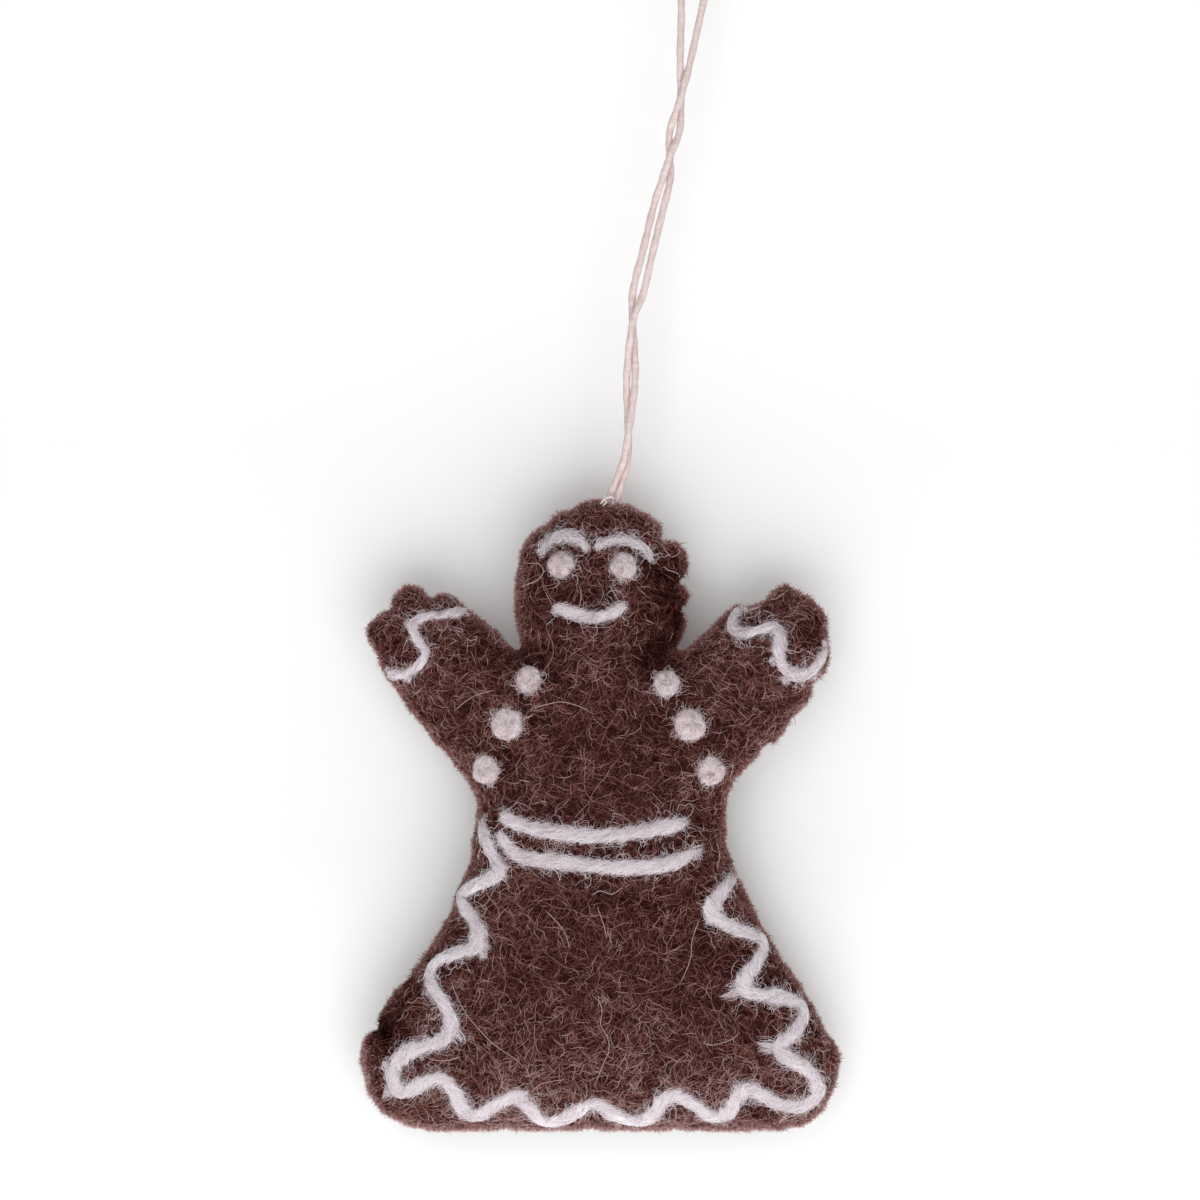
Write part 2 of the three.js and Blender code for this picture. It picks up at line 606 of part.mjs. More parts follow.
function tailChannel(bottom, top) {
  const radius = cordDiameter / 2 + cordClearance;
  const box = new THREE.BoxGeometry(tailSpread, 2 * radius, top - bottom);
  box.translate(tailMiddle.x, 0, (top + bottom) / 2);
  return [-1, 1].reduce((solid, side) => {
    const x = tailMiddle.x + (side * tailSpread) / 2;
    return solid.add(toSolid(uprightBar(radius, bottom, top, x, 0)));
  }, toSolid(box));
}

// Knot that keeps the loop from pulling out of the head: three wraps over two short tails
function cordKnot() {
  const top = tailMiddle.z - knotGap;
  const wrap = knotHeight / 3;
  const groove = (knotGrooveShare * knotDiameter) / 2;
  const profile = [flat(0, 0), flat(groove, 0)];
  for (let k = 0; k < 3; k += 1) {
    const bulge = (knotDiameter / 2) * (k === 1 ? 1 : outerWrapShare);
    const [low, high] = [(k + wrapShoulderShare) * wrap, (k + 1 - wrapShoulderShare) * wrap];
    profile.push(flat(bulge, low), flat(bulge, high), flat(groove, (k + 1) * wrap));
  }
  profile.push(flat(0, knotHeight));
  const barrel = new THREE.LatheGeometry(profile, knotSides).rotateX(Math.PI / 2);
  barrel.translate(tailMiddle.x, 0, top - knotHeight);
  return [-1, 1].reduce((solid, side) => {
    const x = tailMiddle.x + (side * tailSpread) / 2;
    const tail = uprightBar(cordDiameter / 2, top - knotHeight - knotTailLength, top - knotHeight / 2, x, 0);
    return solid.add(toSolid(tail));
  }, toSolid(barrel));
}

function knotPocket() {
  const bottom = tailMiddle.z - knotGap - knotHeight - knotTailLength - cordClearance;
  const top = tailMiddle.z - knotGap + cordClearance;
  return toSolid(uprightBar(knotDiameter / 2 + cordClearance, bottom, top, tailMiddle.x, 0));
}

// Named pieces

function piece(name, geometry, finish) {
  const mesh = new THREE.Mesh(geometry, new THREE.MeshStandardMaterial(finish));
  mesh.name = name;
  return mesh;
}

const channel = tailChannel(tailMiddle.z - knotGap, headTopHeight + feltThickness);
const frontPanel = toSolid(feltPanel(frontCrown)).subtract(channel);
const backPanel = toSolid(feltPanel(backCrown).scale(1, -1, 1)).subtract(channel);
const filling = toSolid(stuffing()).subtract(channel).subtract(knotPocket());

const figure = new THREE.Group();
figure.position.copy(figurePlace);
figure.add(
  piece("front_panel", fromSolid(frontPanel), felt),
  piece("back_panel", fromSolid(backPanel), felt),
  piece("wool_stuffing", fromSolid(filling), rawWool),
  piece("cord_knot", fromSolid(cordKnot()), cotton),
);

const onHead = (shares) => placeBetween(flat(0, neckHeight), flat(headWidth / 2, headTopHeight), shares);
const onBodice = (shares) => placeBetween(flat(0, waistHeight), flat(waistWidth / 2, neckHeight), shares);
const onArms = (shares) => placeBetween(flat(0, waistHeight), flat(armSpan / 2, handTopHeight), shares);
const onWaist = (shares) => placeBetween(flat(0, 0), flat(waistWidth / 2, waistHeight), shares);
const onSkirt = (shares) => placeBetween(flat(0, 0), flat(hemWidth / 2, waistHeight), shares);

const dots = [
  { name: "left_eye", place: onHead([leftEyeShare])[0], size: [eyeDiameter, eyeDiameter] },
  { name: "right_eye", place: onHead([rightEyeShare])[0], size: [eyeDiameter, eyeDiameter] },
  ...[...leftButtons, ...rightButtons].map(({ name, sizeShare, placeShare }) => (
    { name, place: onBodice([placeShare])[0], size: sizeShare.map((share) => share * buttonDiameter) }
  )),
];
const lines = [
  { name: "left_eyebrow", points: onHead(leftBrowShares), width: browWidth, endLength: browEndLength },
  { name: "right_eyebrow", points: onHead(rightBrowShares), width: browWidth, endLength: browEndLength },
  { name: "smile", points: onHead(smileShares), width: smileWidth, endLength: smileEndLength },
  { name: "left_cuff_trim", points: onArms(leftCuffShares), width: cuffWidth },
  { name: "right_cuff_trim", points: onArms(rightCuffShares), width: cuffWidth },
  { name: "belt_upper_line", points: onWaist(upperBeltShares), width: beltWidth },
  { name: "belt_lower_line", points: onWaist(lowerBeltShares), width: beltWidth },
  { name: "skirt_trim", points: onSkirt(skirtTrimShares), width: skirtTrimWidth },
];
dots.forEach(({ name, place, size }) => figure.add(piece(name, woolDot(place, ...size), whiteWool)));
lines.forEach(({ name, points, width, endLength = trimEndLength }) => {
  figure.add(piece(name, laidWool(points, width, endLength), whiteWool));
});

const ornament = new THREE.Group();
ornament.add(figure, piece("hanging_cord", hangingCord(), cotton));

export default ornament;
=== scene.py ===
"""Looks of a stuffed felt figure with white wool trims, hung from a doubled cotton cord.

The felt panels, the loose nap of the felt, the needled wool lines and dots, the seam's thread and the twisted
cord are each a piece of their own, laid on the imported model's frame. Everything is in metres, +Z up, and the
face looks along -Y.
"""

import sys

import functools
import logging
import math
from dataclasses import dataclass, field
from enum import Enum

import bmesh
import bpy
import numpy as np
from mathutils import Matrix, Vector, noise
from mathutils.bvhtree import BVHTree
from mathutils.kdtree import KDTree

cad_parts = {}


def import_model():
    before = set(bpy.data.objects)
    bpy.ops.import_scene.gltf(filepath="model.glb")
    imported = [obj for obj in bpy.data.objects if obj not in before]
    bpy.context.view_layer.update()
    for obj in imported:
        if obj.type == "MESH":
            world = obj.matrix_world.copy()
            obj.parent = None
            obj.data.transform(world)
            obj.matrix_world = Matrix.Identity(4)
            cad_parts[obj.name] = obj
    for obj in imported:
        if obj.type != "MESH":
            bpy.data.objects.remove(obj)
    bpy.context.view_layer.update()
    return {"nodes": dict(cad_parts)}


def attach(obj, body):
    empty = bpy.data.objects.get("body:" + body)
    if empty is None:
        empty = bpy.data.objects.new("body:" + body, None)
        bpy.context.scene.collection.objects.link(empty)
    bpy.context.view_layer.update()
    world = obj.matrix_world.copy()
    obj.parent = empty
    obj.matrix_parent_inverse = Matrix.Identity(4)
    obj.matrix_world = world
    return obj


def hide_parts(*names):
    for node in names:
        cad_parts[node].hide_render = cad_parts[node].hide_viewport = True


log = logging.getLogger("ornament")
MM = 0.001
BODY = "root"
MAP_NAME = "OFBake"
MERGE_DISTANCE = 1e-6
LIGHTEST_TONE = 0.95
# How far before the seam plane the felt is looked for where a pixel of the picture misses it
OUTLINE_DEPTH = 1.9 * MM
# The least and the most that a value may be
Range = tuple[float, float]


class Side(Enum):
    """The two felt panels, by the sign of the way they face along Y."""

    FRONT = -1
    BACK = 1


class Axis(Enum):
    """Directions of the shared frame, as unit vectors."""

    DEEP = (0.0, 1.0, 0.0)
    UP = (0.0, 0.0, 1.0)


# Picture and camera


@dataclass(frozen=True)
class Picture:
    """Where the photograph's pixels lie on the seam plane, and the camera that sees them there."""

    pixel: float = MM / 6
    hem_row: float = 1131.0
    middle_column: float = 601.0
    hem_height: float = -194.8 * MM
    middle_across: float = -15.6 * MM
    frame_pixels: float = 1200.0
    distance: float = 2.0
    sensor: float = 36.0
    near: float = 0.05
    far: float = 30.0

    def on_plane(self, column: float, row: float) -> Vector:
        """Point of the seam plane under a pixel.

        Args:
            column: pixels from the picture's left edge.
            row: pixels from its top edge.

        Returns:
            The point, in metres.
        """
        across = self.middle_across + (column - self.middle_column) * self.pixel
        return Vector((across, 0.0, self.hem_height + (self.hem_row - row) * self.pixel))

    def centre(self) -> Vector:
        """Point of the seam plane under the picture's middle."""
        return self.on_plane(self.frame_pixels / 2, self.frame_pixels / 2)

    def eye(self) -> Vector:
        """Where the camera stands."""
        return self.centre() - Vector(Axis.DEEP.value) * self.distance

    def make_camera(self) -> None:
        """Creates the scene's camera, level and square to the seam plane."""
        data = bpy.data.cameras.new("picture_camera")
        data.sensor_width = self.sensor
        data.lens = self.sensor * self.distance / (self.frame_pixels * self.pixel)
        data.clip_start, data.clip_end = self.near, self.far
        camera = bpy.data.objects.new("picture_camera", data)
        camera.location = self.eye()
        camera.rotation_euler = (math.pi / 2, 0.0, 0.0)
        bpy.context.scene.collection.objects.link(camera)
        bpy.context.scene.camera = camera


PICTURE = Picture()


class Area(Enum):
    """Areas that wool is placed in: half width, height of the foot above the hem, and height, in mm."""

    HEAD = (14.75, 79.4, 26.1)
    SKIRT = (40.0, 0.0, 53.2)
    ARMS = (38.5, 53.2, 38.0)
    WAIST = (20.3, 0.0, 53.2)
    BODICE = (20.3, 53.2, 26.2)

    def spot(self, across: float, up: float) -> tuple[float, float]:
        """A pixel of the picture.

        Args:
            across: share of the half width, to the right of the middle.
            up: share of the height.

        Returns:
            Its column and row.
        """
        half, foot, height = (size * MM / PICTURE.pixel for size in self.value)
        return PICTURE.middle_column + across * half, PICTURE.hem_row - foot - up * height


# Small helpers


def unit(vectors: np.ndarray) -> np.ndarray:
    """Vectors of length one along the last axis.

    Args:
        vectors: any array whose last axis holds x, y and z.

    Returns:
        The same array with each vector divided by its length.
    """
    return vectors / np.maximum(np.linalg.norm(vectors, axis=-1, keepdims=True), 1e-12)


SPLINE_STEPS = 12


def resample(points: np.ndarray, count: int) -> np.ndarray:
    """A smooth line through points, cut into even steps.

    Args:
        points: the points that the line passes, one per row.
        count: how many points the result has.

    Returns:
        The new points, evenly spaced along the line.
    """
    points = np.array(points, float)
    ends = np.vstack([2 * points[0] - points[1], points, 2 * points[-1] - points[-2]])
    fine = []
    for i in range(len(points) - 1):
        a, b, c, d = ends[i : i + 4]
        for t in np.linspace(0, 1, SPLINE_STEPS, endpoint=False):
            fine.append(0.5 * (2 * b + (c - a) * t + (2 * a - 5 * b + 4 * c - d) * t**2
                               + (3 * b - a - 3 * c + d) * t**3))
    fine.append(points[-1])
    fine = np.array(fine)
    along = np.concatenate([[0], np.cumsum(np.linalg.norm(np.diff(fine, axis=0), axis=1))])
    wanted = np.linspace(0, along[-1], count)
    return np.stack([np.interp(wanted, along, fine[:, k]) for k in range(fine.shape[1])], 1)


def length_of(points: np.ndarray) -> float:
    """Length of a line of points.

    Args:
        points: one point per row.

    Returns:
        The sum of its steps.
    """
    return float(np.linalg.norm(np.diff(points, axis=0), axis=1).sum())


def coordinates(mesh: bpy.types.Mesh) -> np.ndarray:
    """All vertices of a mesh.

    Args:
        mesh: the mesh to read.

    Returns:
        One row of x, y and z for each vertex.
    """
    found = np.empty(len(mesh.vertices) * 3, np.float64)
    mesh.vertices.foreach_get("co", found)
    return found.reshape(-1, 3)


def noise_at(points: np.ndarray, size: float, shift: tuple = (0.0, 0.0, 0.0)) -> np.ndarray:
    """Smooth noise at points.

    Args:
        points: one point per row.
        size: how far apart its lumps are.
        shift: a place to read the noise from instead of its origin.

    Returns:
        One number for each point, from about -1 to 1.
    """
    return np.array([noise.noise(Vector(point) / size + Vector(shift)) for point in points])


def arch(levels: int) -> np.ndarray:
    """A path's rise from its two ends to its middle.

    Args:
        levels: points on the path.

    Returns:
        One share per point, from 0 to 1.
    """
    return np.sin(np.linspace(0, math.pi, levels)) ** 0.5


def merged(node: bpy.types.Object) -> bmesh.types.BMesh:
    """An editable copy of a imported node, with its doubled vertices joined.

    Args:
        node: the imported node.

    Returns:
        The copy.
    """
    bm = bmesh.new()
    bm.from_mesh(node.data)
    bmesh.ops.remove_doubles(bm, verts=list(bm.verts), dist=MERGE_DISTANCE)
    return bm


def plain_mesh(bm: bmesh.types.BMesh, name: str) -> bpy.types.Mesh:
    """Turns an edited mesh into a plain one, and frees it.

    Args:
        bm: the edited mesh.
        name: the new mesh's name.

    Returns:
        The new mesh.
    """
    mesh = bpy.data.meshes.new(name)
    bm.to_mesh(mesh)
    bm.free()
    return mesh


def dress(mesh: bpy.types.Mesh, finish: "Finish") -> None:
    """Gives a mesh one finish in place of any other.

    Args:
        mesh: the mesh.
        finish: its finish.
    """
    mesh.materials.clear()
    mesh.materials.append(finish.make())


def show(mesh: bpy.types.Mesh, name: str, finish: "Finish | None" = None) -> bpy.types.Object:
    """Puts a mesh in the scene as an object at the origin.

    Args:
        mesh: the finished mesh.
        name: the piece's name.
        finish: its finish, or None for the one that it has.

    Returns:
        The new object.
    """
    mesh.name = name
    piece = bpy.data.objects.new(name, mesh)
    bpy.context.scene.collection.objects.link(piece)
    if finish:
        dress(mesh, finish)
    return piece


def settle(piece: bpy.types.Object, slot: str, *nodes: str) -> bpy.types.Object:
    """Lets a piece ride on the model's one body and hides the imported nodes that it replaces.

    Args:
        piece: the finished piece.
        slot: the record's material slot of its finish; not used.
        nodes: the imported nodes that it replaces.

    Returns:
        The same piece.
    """
    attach(piece, BODY)
    if nodes:
        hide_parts(*nodes)
    piece.data.calc_loop_triangles()
    log.info("%s: %d triangles", piece.name, len(piece.data.loop_triangles))
    return piece


# Finishes


class NodeTree:
    """A thin wrapper that adds and links shader nodes."""

    def __init__(self, tree: bpy.types.NodeTree) -> None:
        """Keeps the tree that nodes are added to."""
        self.tree = tree

    def add(self, kind: str, feeds: dict | None = None, **settings: object) -> bpy.types.Node:
        """Adds a node.

        Args:
            kind: the node's type, without the ShaderNode prefix.
            feeds: a number, a colour or a socket for its inputs, by their names or places.
            settings: its properties by name.

        Returns:
            The new node.
        """
        node = self.tree.nodes.new("ShaderNode" + kind)
        for name, value in settings.items():
            setattr(node, name, value)
        self.feed(node, feeds or {})
        return node

    def feed(self, node: bpy.types.Node, feeds: dict) -> None:
        """Links or sets a node's inputs.

        Args:
            node: the node.
            feeds: a number, a colour or a socket for its inputs, by their names or places.
        """
        for key, value in feeds.items():
            if isinstance(value, bpy.types.NodeSocket):
                self.tree.links.new(value, node.inputs[key])
            else:
                node.inputs[key].default_value = value

    def maths(self, operation: str, first: object, second: object) -> bpy.types.NodeSocket:
        """Adds a sum, product or other simple step.

        Args:
            operation: the Math node's operation.
            first: a socket or a number.
            second: a socket or a number.

        Returns:
            The result's socket.
        """
        return self.add("Math", {0: first, 1: second}, operation=operation).outputs[0]

    def blend(self, share: object, low: object, high: object) -> bpy.types.NodeSocket:
        """Adds a mix of two colours.

        Args:
            share: a socket or a number, 0 for low and 1 for high.
            low: a socket or a colour.
            high: a socket or a colour.

        Returns:
            The mixed colour's socket.
        """
        return self.add("Mix", {0: share, 6: low, 7: high}, data_type="RGBA").outputs[2]

    def ramp(self, share: bpy.types.NodeSocket, stops: tuple) -> bpy.types.NodeSocket:
        """Adds a ramp of colours.

        Args:
            share: the socket that runs along it.
            stops: the place and the colour of each stop, in order.

        Returns:
            The colour's socket.
        """
        node = self.add("ValToRGB", {"Fac": share})
        elements = node.color_ramp.elements
        while len(elements) < len(stops):
            elements.new(0.5)
        for element, (place, colour) in zip(elements, stops):
            element.position, element.color = place, (*colour, 1)
        return node.outputs["Color"]


FIBRE_TURNS = ((0.3, 0.2, 0.7), (1.1, 0.5, 2.1), (0.2, 1.3, 1.2))
FIBRE_STRETCH = (0.16, 1.0, 1.0)
FIBRE_EDGES = (0.48, 0.74)


def wool_group() -> bpy.types.NodeTree:
    """The shared wool pattern: tangled fine fibres and slow blotches, from Object coordinates.
    Its colour is darker where its height is lower, which is painted shade in the relief's hollows.

    Returns:
        The node group, with inputs for two scales and three tones, and the outputs Color and Height.
    """
    found = bpy.data.node_groups.get("wool_pattern")
    if found:
        return found
    group = bpy.data.node_groups.new("wool_pattern", "ShaderNodeTree")
    for way, kind, names in (("INPUT", "Float", ("Fibres", "Blotches")),
                             ("INPUT", "Color", ("Dark", "Middle", "Light")),
                             ("OUTPUT", "Color", ("Color",)), ("OUTPUT", "Float", ("Height",))):
        for name in names:
            group.interface.new_socket(name, in_out=way, socket_type="NodeSocket" + kind)
    nodes = NodeTree(group)
    given, out = group.nodes.new("NodeGroupInput").outputs, group.nodes.new("NodeGroupOutput")
    place = nodes.add("TexCoord").outputs["Object"]
    strands = []
    for turn in FIBRE_TURNS:
        mapping = nodes.add("Mapping", {"Vector": place, "Rotation": turn, "Scale": FIBRE_STRETCH})
        fibres = nodes.add("TexNoise", {"Vector": mapping.outputs[0], "Scale": given["Fibres"], "Detail": 3.0,
                                        "Roughness": 0.6, "Distortion": 0.8})
        strands.append(fibres.outputs["Fac"])
    top = nodes.maths("MAXIMUM", nodes.maths("MAXIMUM", strands[0], strands[1]), strands[2])
    low, high = FIBRE_EDGES
    sharp = nodes.add("MapRange", {"Value": top, "From Min": low, "From Max": high}).outputs[0]
    slow = nodes.add("TexNoise", {"Vector": place, "Scale": given["Blotches"], "Detail": 4.0})
    blotch = slow.outputs["Fac"]
    # Dark lies where the height is low and Light where it is high: painted shade in the hollows.
    base = nodes.blend(blotch, given["Dark"], given["Middle"])
    height = nodes.maths("ADD", sharp, nodes.maths("MULTIPLY", blotch, 0.5))
    nodes.feed(out, {"Color": nodes.blend(sharp, base, given["Light"]), "Height": height})
    return group


@dataclass(frozen=True)
class Finish:
    """A material that is built on its first use."""

    name: str
    roughness = 0.9

    def look(self, nodes: NodeTree) -> dict:
        """What the finish feeds to its shader.

        Args:
            nodes: the material's nodes.

        Returns:
            Sockets by the names of the shader's inputs.
        """
        raise NotImplementedError

    def make(self) -> bpy.types.Material:
        """Builds the material, or gives the one that is there.

        Returns:
            The material.
        """
        found = bpy.data.materials.get(self.name)
        if found:
            return found
        material = bpy.data.materials.new(self.name)
        material.use_nodes = True
        nodes = NodeTree(material.node_tree)
        shader = material.node_tree.nodes["Principled BSDF"]
        nodes.feed(shader, {**self.look(nodes), "Roughness": self.roughness, "Specular IOR Level": 0.0})
        return material


@dataclass(frozen=True)
class WoolFinish(Finish):
    """Matted wool: a dark tone painted as shade in the pits, a middle tone and lighter fibres on top."""

    dark: tuple[float, float, float]
    middle: tuple[float, float, float]
    light: tuple[float, float, float]
    fibres: float = 900.0
    blotches: float = 90.0
    relief: float = 0.15 * MM
    roughness = 0.95

    def look(self, nodes: NodeTree) -> dict:
        """The wool pattern as colour and relief.

        Args:
            nodes: the material's nodes.

        Returns:
            Sockets by the names of the shader's inputs.
        """
        wool = nodes.add("Group", {"Fibres": self.fibres, "Blotches": self.blotches, "Dark": (*self.dark, 1),
                                   "Middle": (*self.middle, 1), "Light": (*self.light, 1)},
                         node_tree=wool_group()).outputs
        bump = nodes.add("Bump", {"Strength": 1.0, "Distance": self.relief, "Height": wool["Height"]})
        return {"Normal": bump.outputs[0], "Base Color": wool["Color"]}


@dataclass(frozen=True)
class StrandFinish(Finish):
    """Single fibres whose tone comes from the strand's own attribute, from dark to light."""

    tones: tuple[tuple[float, tuple[float, float, float]], ...]

    def look(self, nodes: NodeTree) -> dict:
        """The strand's tone as colour.

        Args:
            nodes: the material's nodes.

        Returns:
            Sockets by the names of the shader's inputs.
        """
        tone = nodes.add("Attribute", attribute_name="tone").outputs["Fac"]
        return {"Base Color": nodes.ramp(tone, self.tones)}


# The felt's nearly black tones under the nap are painted shade in the gaps between the fibres. The dark tone
# of each wool finish is painted shade in its hollows.
FELT = WoolFinish("felt_look", (0.011, 0.003, 0.002), (0.024, 0.007, 0.006), (0.060, 0.020, 0.017),
                  fibres=1100.0)
FELT_FIBRES = StrandFinish("felt_fibres_look", (
    (0.0, (0.016, 0.004, 0.003)), (0.25, (0.048, 0.015, 0.012)), (0.5, (0.135, 0.050, 0.042)),
    (0.75, (0.315, 0.137, 0.117)), (0.9, (0.49, 0.27, 0.245)), (1.0, (0.74, 0.60, 0.60))))
WHITE_WOOL = WoolFinish("white_wool_look", (0.52, 0.45, 0.48), (0.80, 0.71, 0.75), (0.95, 0.88, 0.92),
                        fibres=1500.0, blotches=600.0, relief=0.12 * MM)
WHITE_FIBRES = StrandFinish("white_fibres_look", (
    (0.0, (0.36, 0.29, 0.31)), (0.35, (0.70, 0.61, 0.65)), (0.7, (0.92, 0.84, 0.88)),
    (1.0, (0.98, 0.93, 0.96))))
DOT_WOOL = WoolFinish("dot_wool_look", (0.38, 0.31, 0.32), (0.66, 0.56, 0.58), (0.86, 0.76, 0.78),
                      fibres=1500.0, blotches=600.0, relief=0.12 * MM)
DOT_FIBRES = StrandFinish("dot_fibres_look", (
    (0.0, (0.34, 0.26, 0.27)), (0.35, (0.68, 0.57, 0.58)), (0.7, (0.92, 0.80, 0.82)),
    (1.0, (0.98, 0.92, 0.93))))
RED_FIBRES = StrandFinish("red_lint_look", ((0.0, (0.22, 0.010, 0.020)), (1.0, (0.40, 0.025, 0.045))))
COTTON = WoolFinish("cotton_look", (0.56, 0.43, 0.40), (0.70, 0.58, 0.57), (0.77, 0.66, 0.66),
                    fibres=1400.0, blotches=350.0, relief=0.06 * MM)
COTTON_FIBRES = StrandFinish("cotton_fibres_look", ((0.0, (0.66, 0.54, 0.52)), (1.0, (0.80, 0.71, 0.72))))
RAW_WOOL = WoolFinish("raw_wool_look", (0.55, 0.50, 0.43), (0.70, 0.66, 0.59), (0.85, 0.82, 0.76),
                      fibres=500.0)
THREAD = WoolFinish("thread_look", (0.012, 0.004, 0.004), (0.030, 0.011, 0.011), (0.07, 0.028, 0.026),
                    fibres=1600.0, blotches=300.0, relief=0.05 * MM)


# Strands


@dataclass
class StrandTemplate:
    """One closed strand of a few rings with a pointed tip at each end, made once and copied often."""

    sides: int
    rings: int
    level: np.ndarray = field(init=False)
    angle: np.ndarray = field(init=False)
    corner: np.ndarray = field(init=False)
    total: np.ndarray = field(init=False)
    chart: np.ndarray = field(init=False)
    tip: np.ndarray = field(init=False)

    def __post_init__(self) -> None:
        """Builds the strand with bmesh and reads it into arrays."""
        bm = self.closed_form()
        places = np.array([v.co for v in bm.verts])
        turn = np.arctan2(places[:, 1], places[:, 0]) / (2 * math.pi) * self.sides
        faces = [[v.index for v in f.verts] for f in bm.faces]
        bm.free()
        self.level = np.rint(places[:, 2]).astype(int) + 1
        self.angle = turn
        self.corner = np.array([k for f in faces for k in f], np.int32)
        self.total = np.array([len(f) for f in faces], np.int32)
        self.tip = tip = np.hypot(places[:, 0], places[:, 1]) < 0.5
        chart = []
        for f in faces:
            round_it = [turn[k] % self.sides for k in f if not tip[k]]
            if max(round_it) - min(round_it) > self.sides / 2:
                round_it = [a + self.sides if a < self.sides / 2 else a for a in round_it]
            given = iter(round_it)
            for k in f:
                across = float(np.mean(round_it)) if tip[k] else next(given)
                chart.append((across / (self.sides + 1), self.level[k] / (self.rings + 1)))
        self.chart = np.array(chart)

    def closed_form(self) -> bmesh.types.BMesh:
        """The strand along Z, with rings at 0, 1, 2 and so on and a tip one step beyond either end.

        Returns:
            The form, to be freed by the caller.
        """
        bm = bmesh.new()
        if self.rings == 1:
            bmesh.ops.create_cone(bm, cap_ends=True, cap_tris=False, segments=self.sides, radius1=1.0,
                                  radius2=0.0, depth=1.0)
            bmesh.ops.remove_doubles(bm, verts=list(bm.verts), dist=1e-5)
            bmesh.ops.translate(bm, verts=list(bm.verts), vec=(0, 0, 0.5))
            caps = [f for f in bm.faces if all(v.co.z < 0.01 for v in f.verts)]
        else:
            bmesh.ops.create_circle(bm, cap_ends=False, segments=self.sides, radius=1.0)
            rim = list(bm.edges)
            for _ in range(1, self.rings):
                grown = bmesh.ops.extrude_edge_only(bm, edges=rim)["geom"]
                points = {v for v in grown if isinstance(v, bmesh.types.BMVert)}
                bmesh.ops.translate(bm, verts=list(points), vec=(0, 0, 1))
                rim = [e for e in grown if isinstance(e, bmesh.types.BMEdge) and set(e.verts) <= points]
            caps = bmesh.ops.holes_fill(bm, edges=[e for e in bm.edges if e.is_boundary], sides=0)["faces"]
        for face in list(caps):
            high = face.calc_center_median().z > 0.5
            tip = bmesh.ops.poke(bm, faces=[face])["verts"]
            bmesh.ops.translate(bm, verts=tip, vec=(0, 0, 1 if high else -1))
        bmesh.ops.recalc_face_normals(bm, faces=list(bm.faces))
        bm.verts.index_update()
        return bm


@functools.lru_cache
def template(sides: int, rings: int) -> StrandTemplate:
    """The strand template of these counts, made on its first use.

    Args:
        sides: corners of the strand's section.
        rings: rings between its two tips.

    Returns:
        The template.
    """
    return StrandTemplate(sides, rings)


@dataclass
class Strands:
    """Many strands that become one mesh, each with its path, thickness and tone."""

    parts: list[tuple] = field(default_factory=list)
    next_to_tip = 0.75
    cell_margin = 0.08

    def add(self, paths: np.ndarray, normals: np.ndarray, radius: np.ndarray | float,
            tone: np.ndarray | float, sides: int = 3, high: float = 1.0,
            taper: np.ndarray | None = None) -> None:
        """Adds strands that share one template.

        Args:
            paths: strands by points by xyz, or one strand's points. The first and last point are its tips.
            normals: the way up at each point, in a shape that fits the paths.
            radius: half the width, one number or one per strand.
            tone: 0 for the darkest to 1 for the lightest, one number or one per strand.
            sides: corners of the section.
            high: the section's height as a share of its width.
            taper: share of the radius at each point, or None for an even strand with short points.
        """
        if paths.ndim == 2:
            paths = paths[None]
        normals = np.broadcast_to(normals, paths.shape)
        radius, tone = (np.broadcast_to(values, len(paths)) for values in (radius, tone))
        rings = paths.shape[1] - 2
        kit = template(sides, rings)
        if taper is None:
            taper = np.ones(rings + 2)
            taper[[1, -2]] = self.next_to_tip
        along = unit(np.gradient(paths, axis=1))
        aside = unit(np.cross(along, normals))
        above = np.cross(aside, along)
        turn = kit.angle / kit.sides * 2 * math.pi
        size = radius[:, None] * np.where(kit.tip, 0.0, np.atleast_2d(taper)[:, kit.level])
        places = (paths[:, kit.level]
                  + (size * np.cos(turn))[..., None] * aside[:, kit.level]
                  + (size * np.sin(turn) * high)[..., None] * above[:, kit.level])
        self.parts.append((kit, places, tone))

    def mesh(self, name: str) -> bpy.types.Mesh:
        """Builds the mesh with its map and its tone attribute.

        Args:
            name: the mesh's name.

        Returns:
            The mesh.
        """
        places, corners, totals, tones, charts = [], [], [], [], []
        count = sum(len(part[1]) for part in self.parts)
        columns = max(1, math.ceil(math.sqrt(count)))
        shift, cell = 0, 0
        for kit, points, tone in self.parts:
            n, v = points.shape[:2]
            places.append(points.reshape(-1, 3))
            corners.append((kit.corner[None] + shift + np.arange(n)[:, None] * v).ravel())
            totals.append(np.tile(kit.total, n))
            tones.append(np.repeat(tone, v))
            index = cell + np.arange(n)
            corner = np.stack([index % columns, index // columns], 1)[:, None] + self.cell_margin
            charts.append(((corner + kit.chart[None] * (1 - 2 * self.cell_margin)) / columns).reshape(-1, 2))
            shift, cell = shift + n * v, cell + n
        places, corners, totals = np.concatenate(places), np.concatenate(corners), np.concatenate(totals)
        mesh = bpy.data.meshes.new(name)
        mesh.vertices.add(len(places))
        mesh.vertices.foreach_set("co", places.astype(np.float32).ravel())
        mesh.loops.add(len(corners))
        mesh.loops.foreach_set("vertex_index", corners.astype(np.int32))
        mesh.polygons.add(len(totals))
        mesh.polygons.foreach_set("loop_start", (np.cumsum(totals) - totals).astype(np.int32))
        charts = np.concatenate(charts).astype(np.float32)
        mesh.uv_layers.new(name=MAP_NAME).uv.foreach_set("vector", charts.ravel())
        tone = mesh.attributes.new("tone", "FLOAT", "POINT")
        tone.data.foreach_set("value", np.concatenate(tones).astype(np.float32))
        mesh.update(calc_edges=True)
        mesh.shade_smooth()
        return mesh

    def piece(self, name: str, finish: Finish, slot: str) -> None:
        """Builds the object, gives it a finish and lets it ride on the body.

        Args:
            name: the piece's name.
            finish: its finish.
            slot: the record's material slot of the finish.
        """
        settle(show(self.mesh(name), name, finish), slot)


# Surface to lay wool on


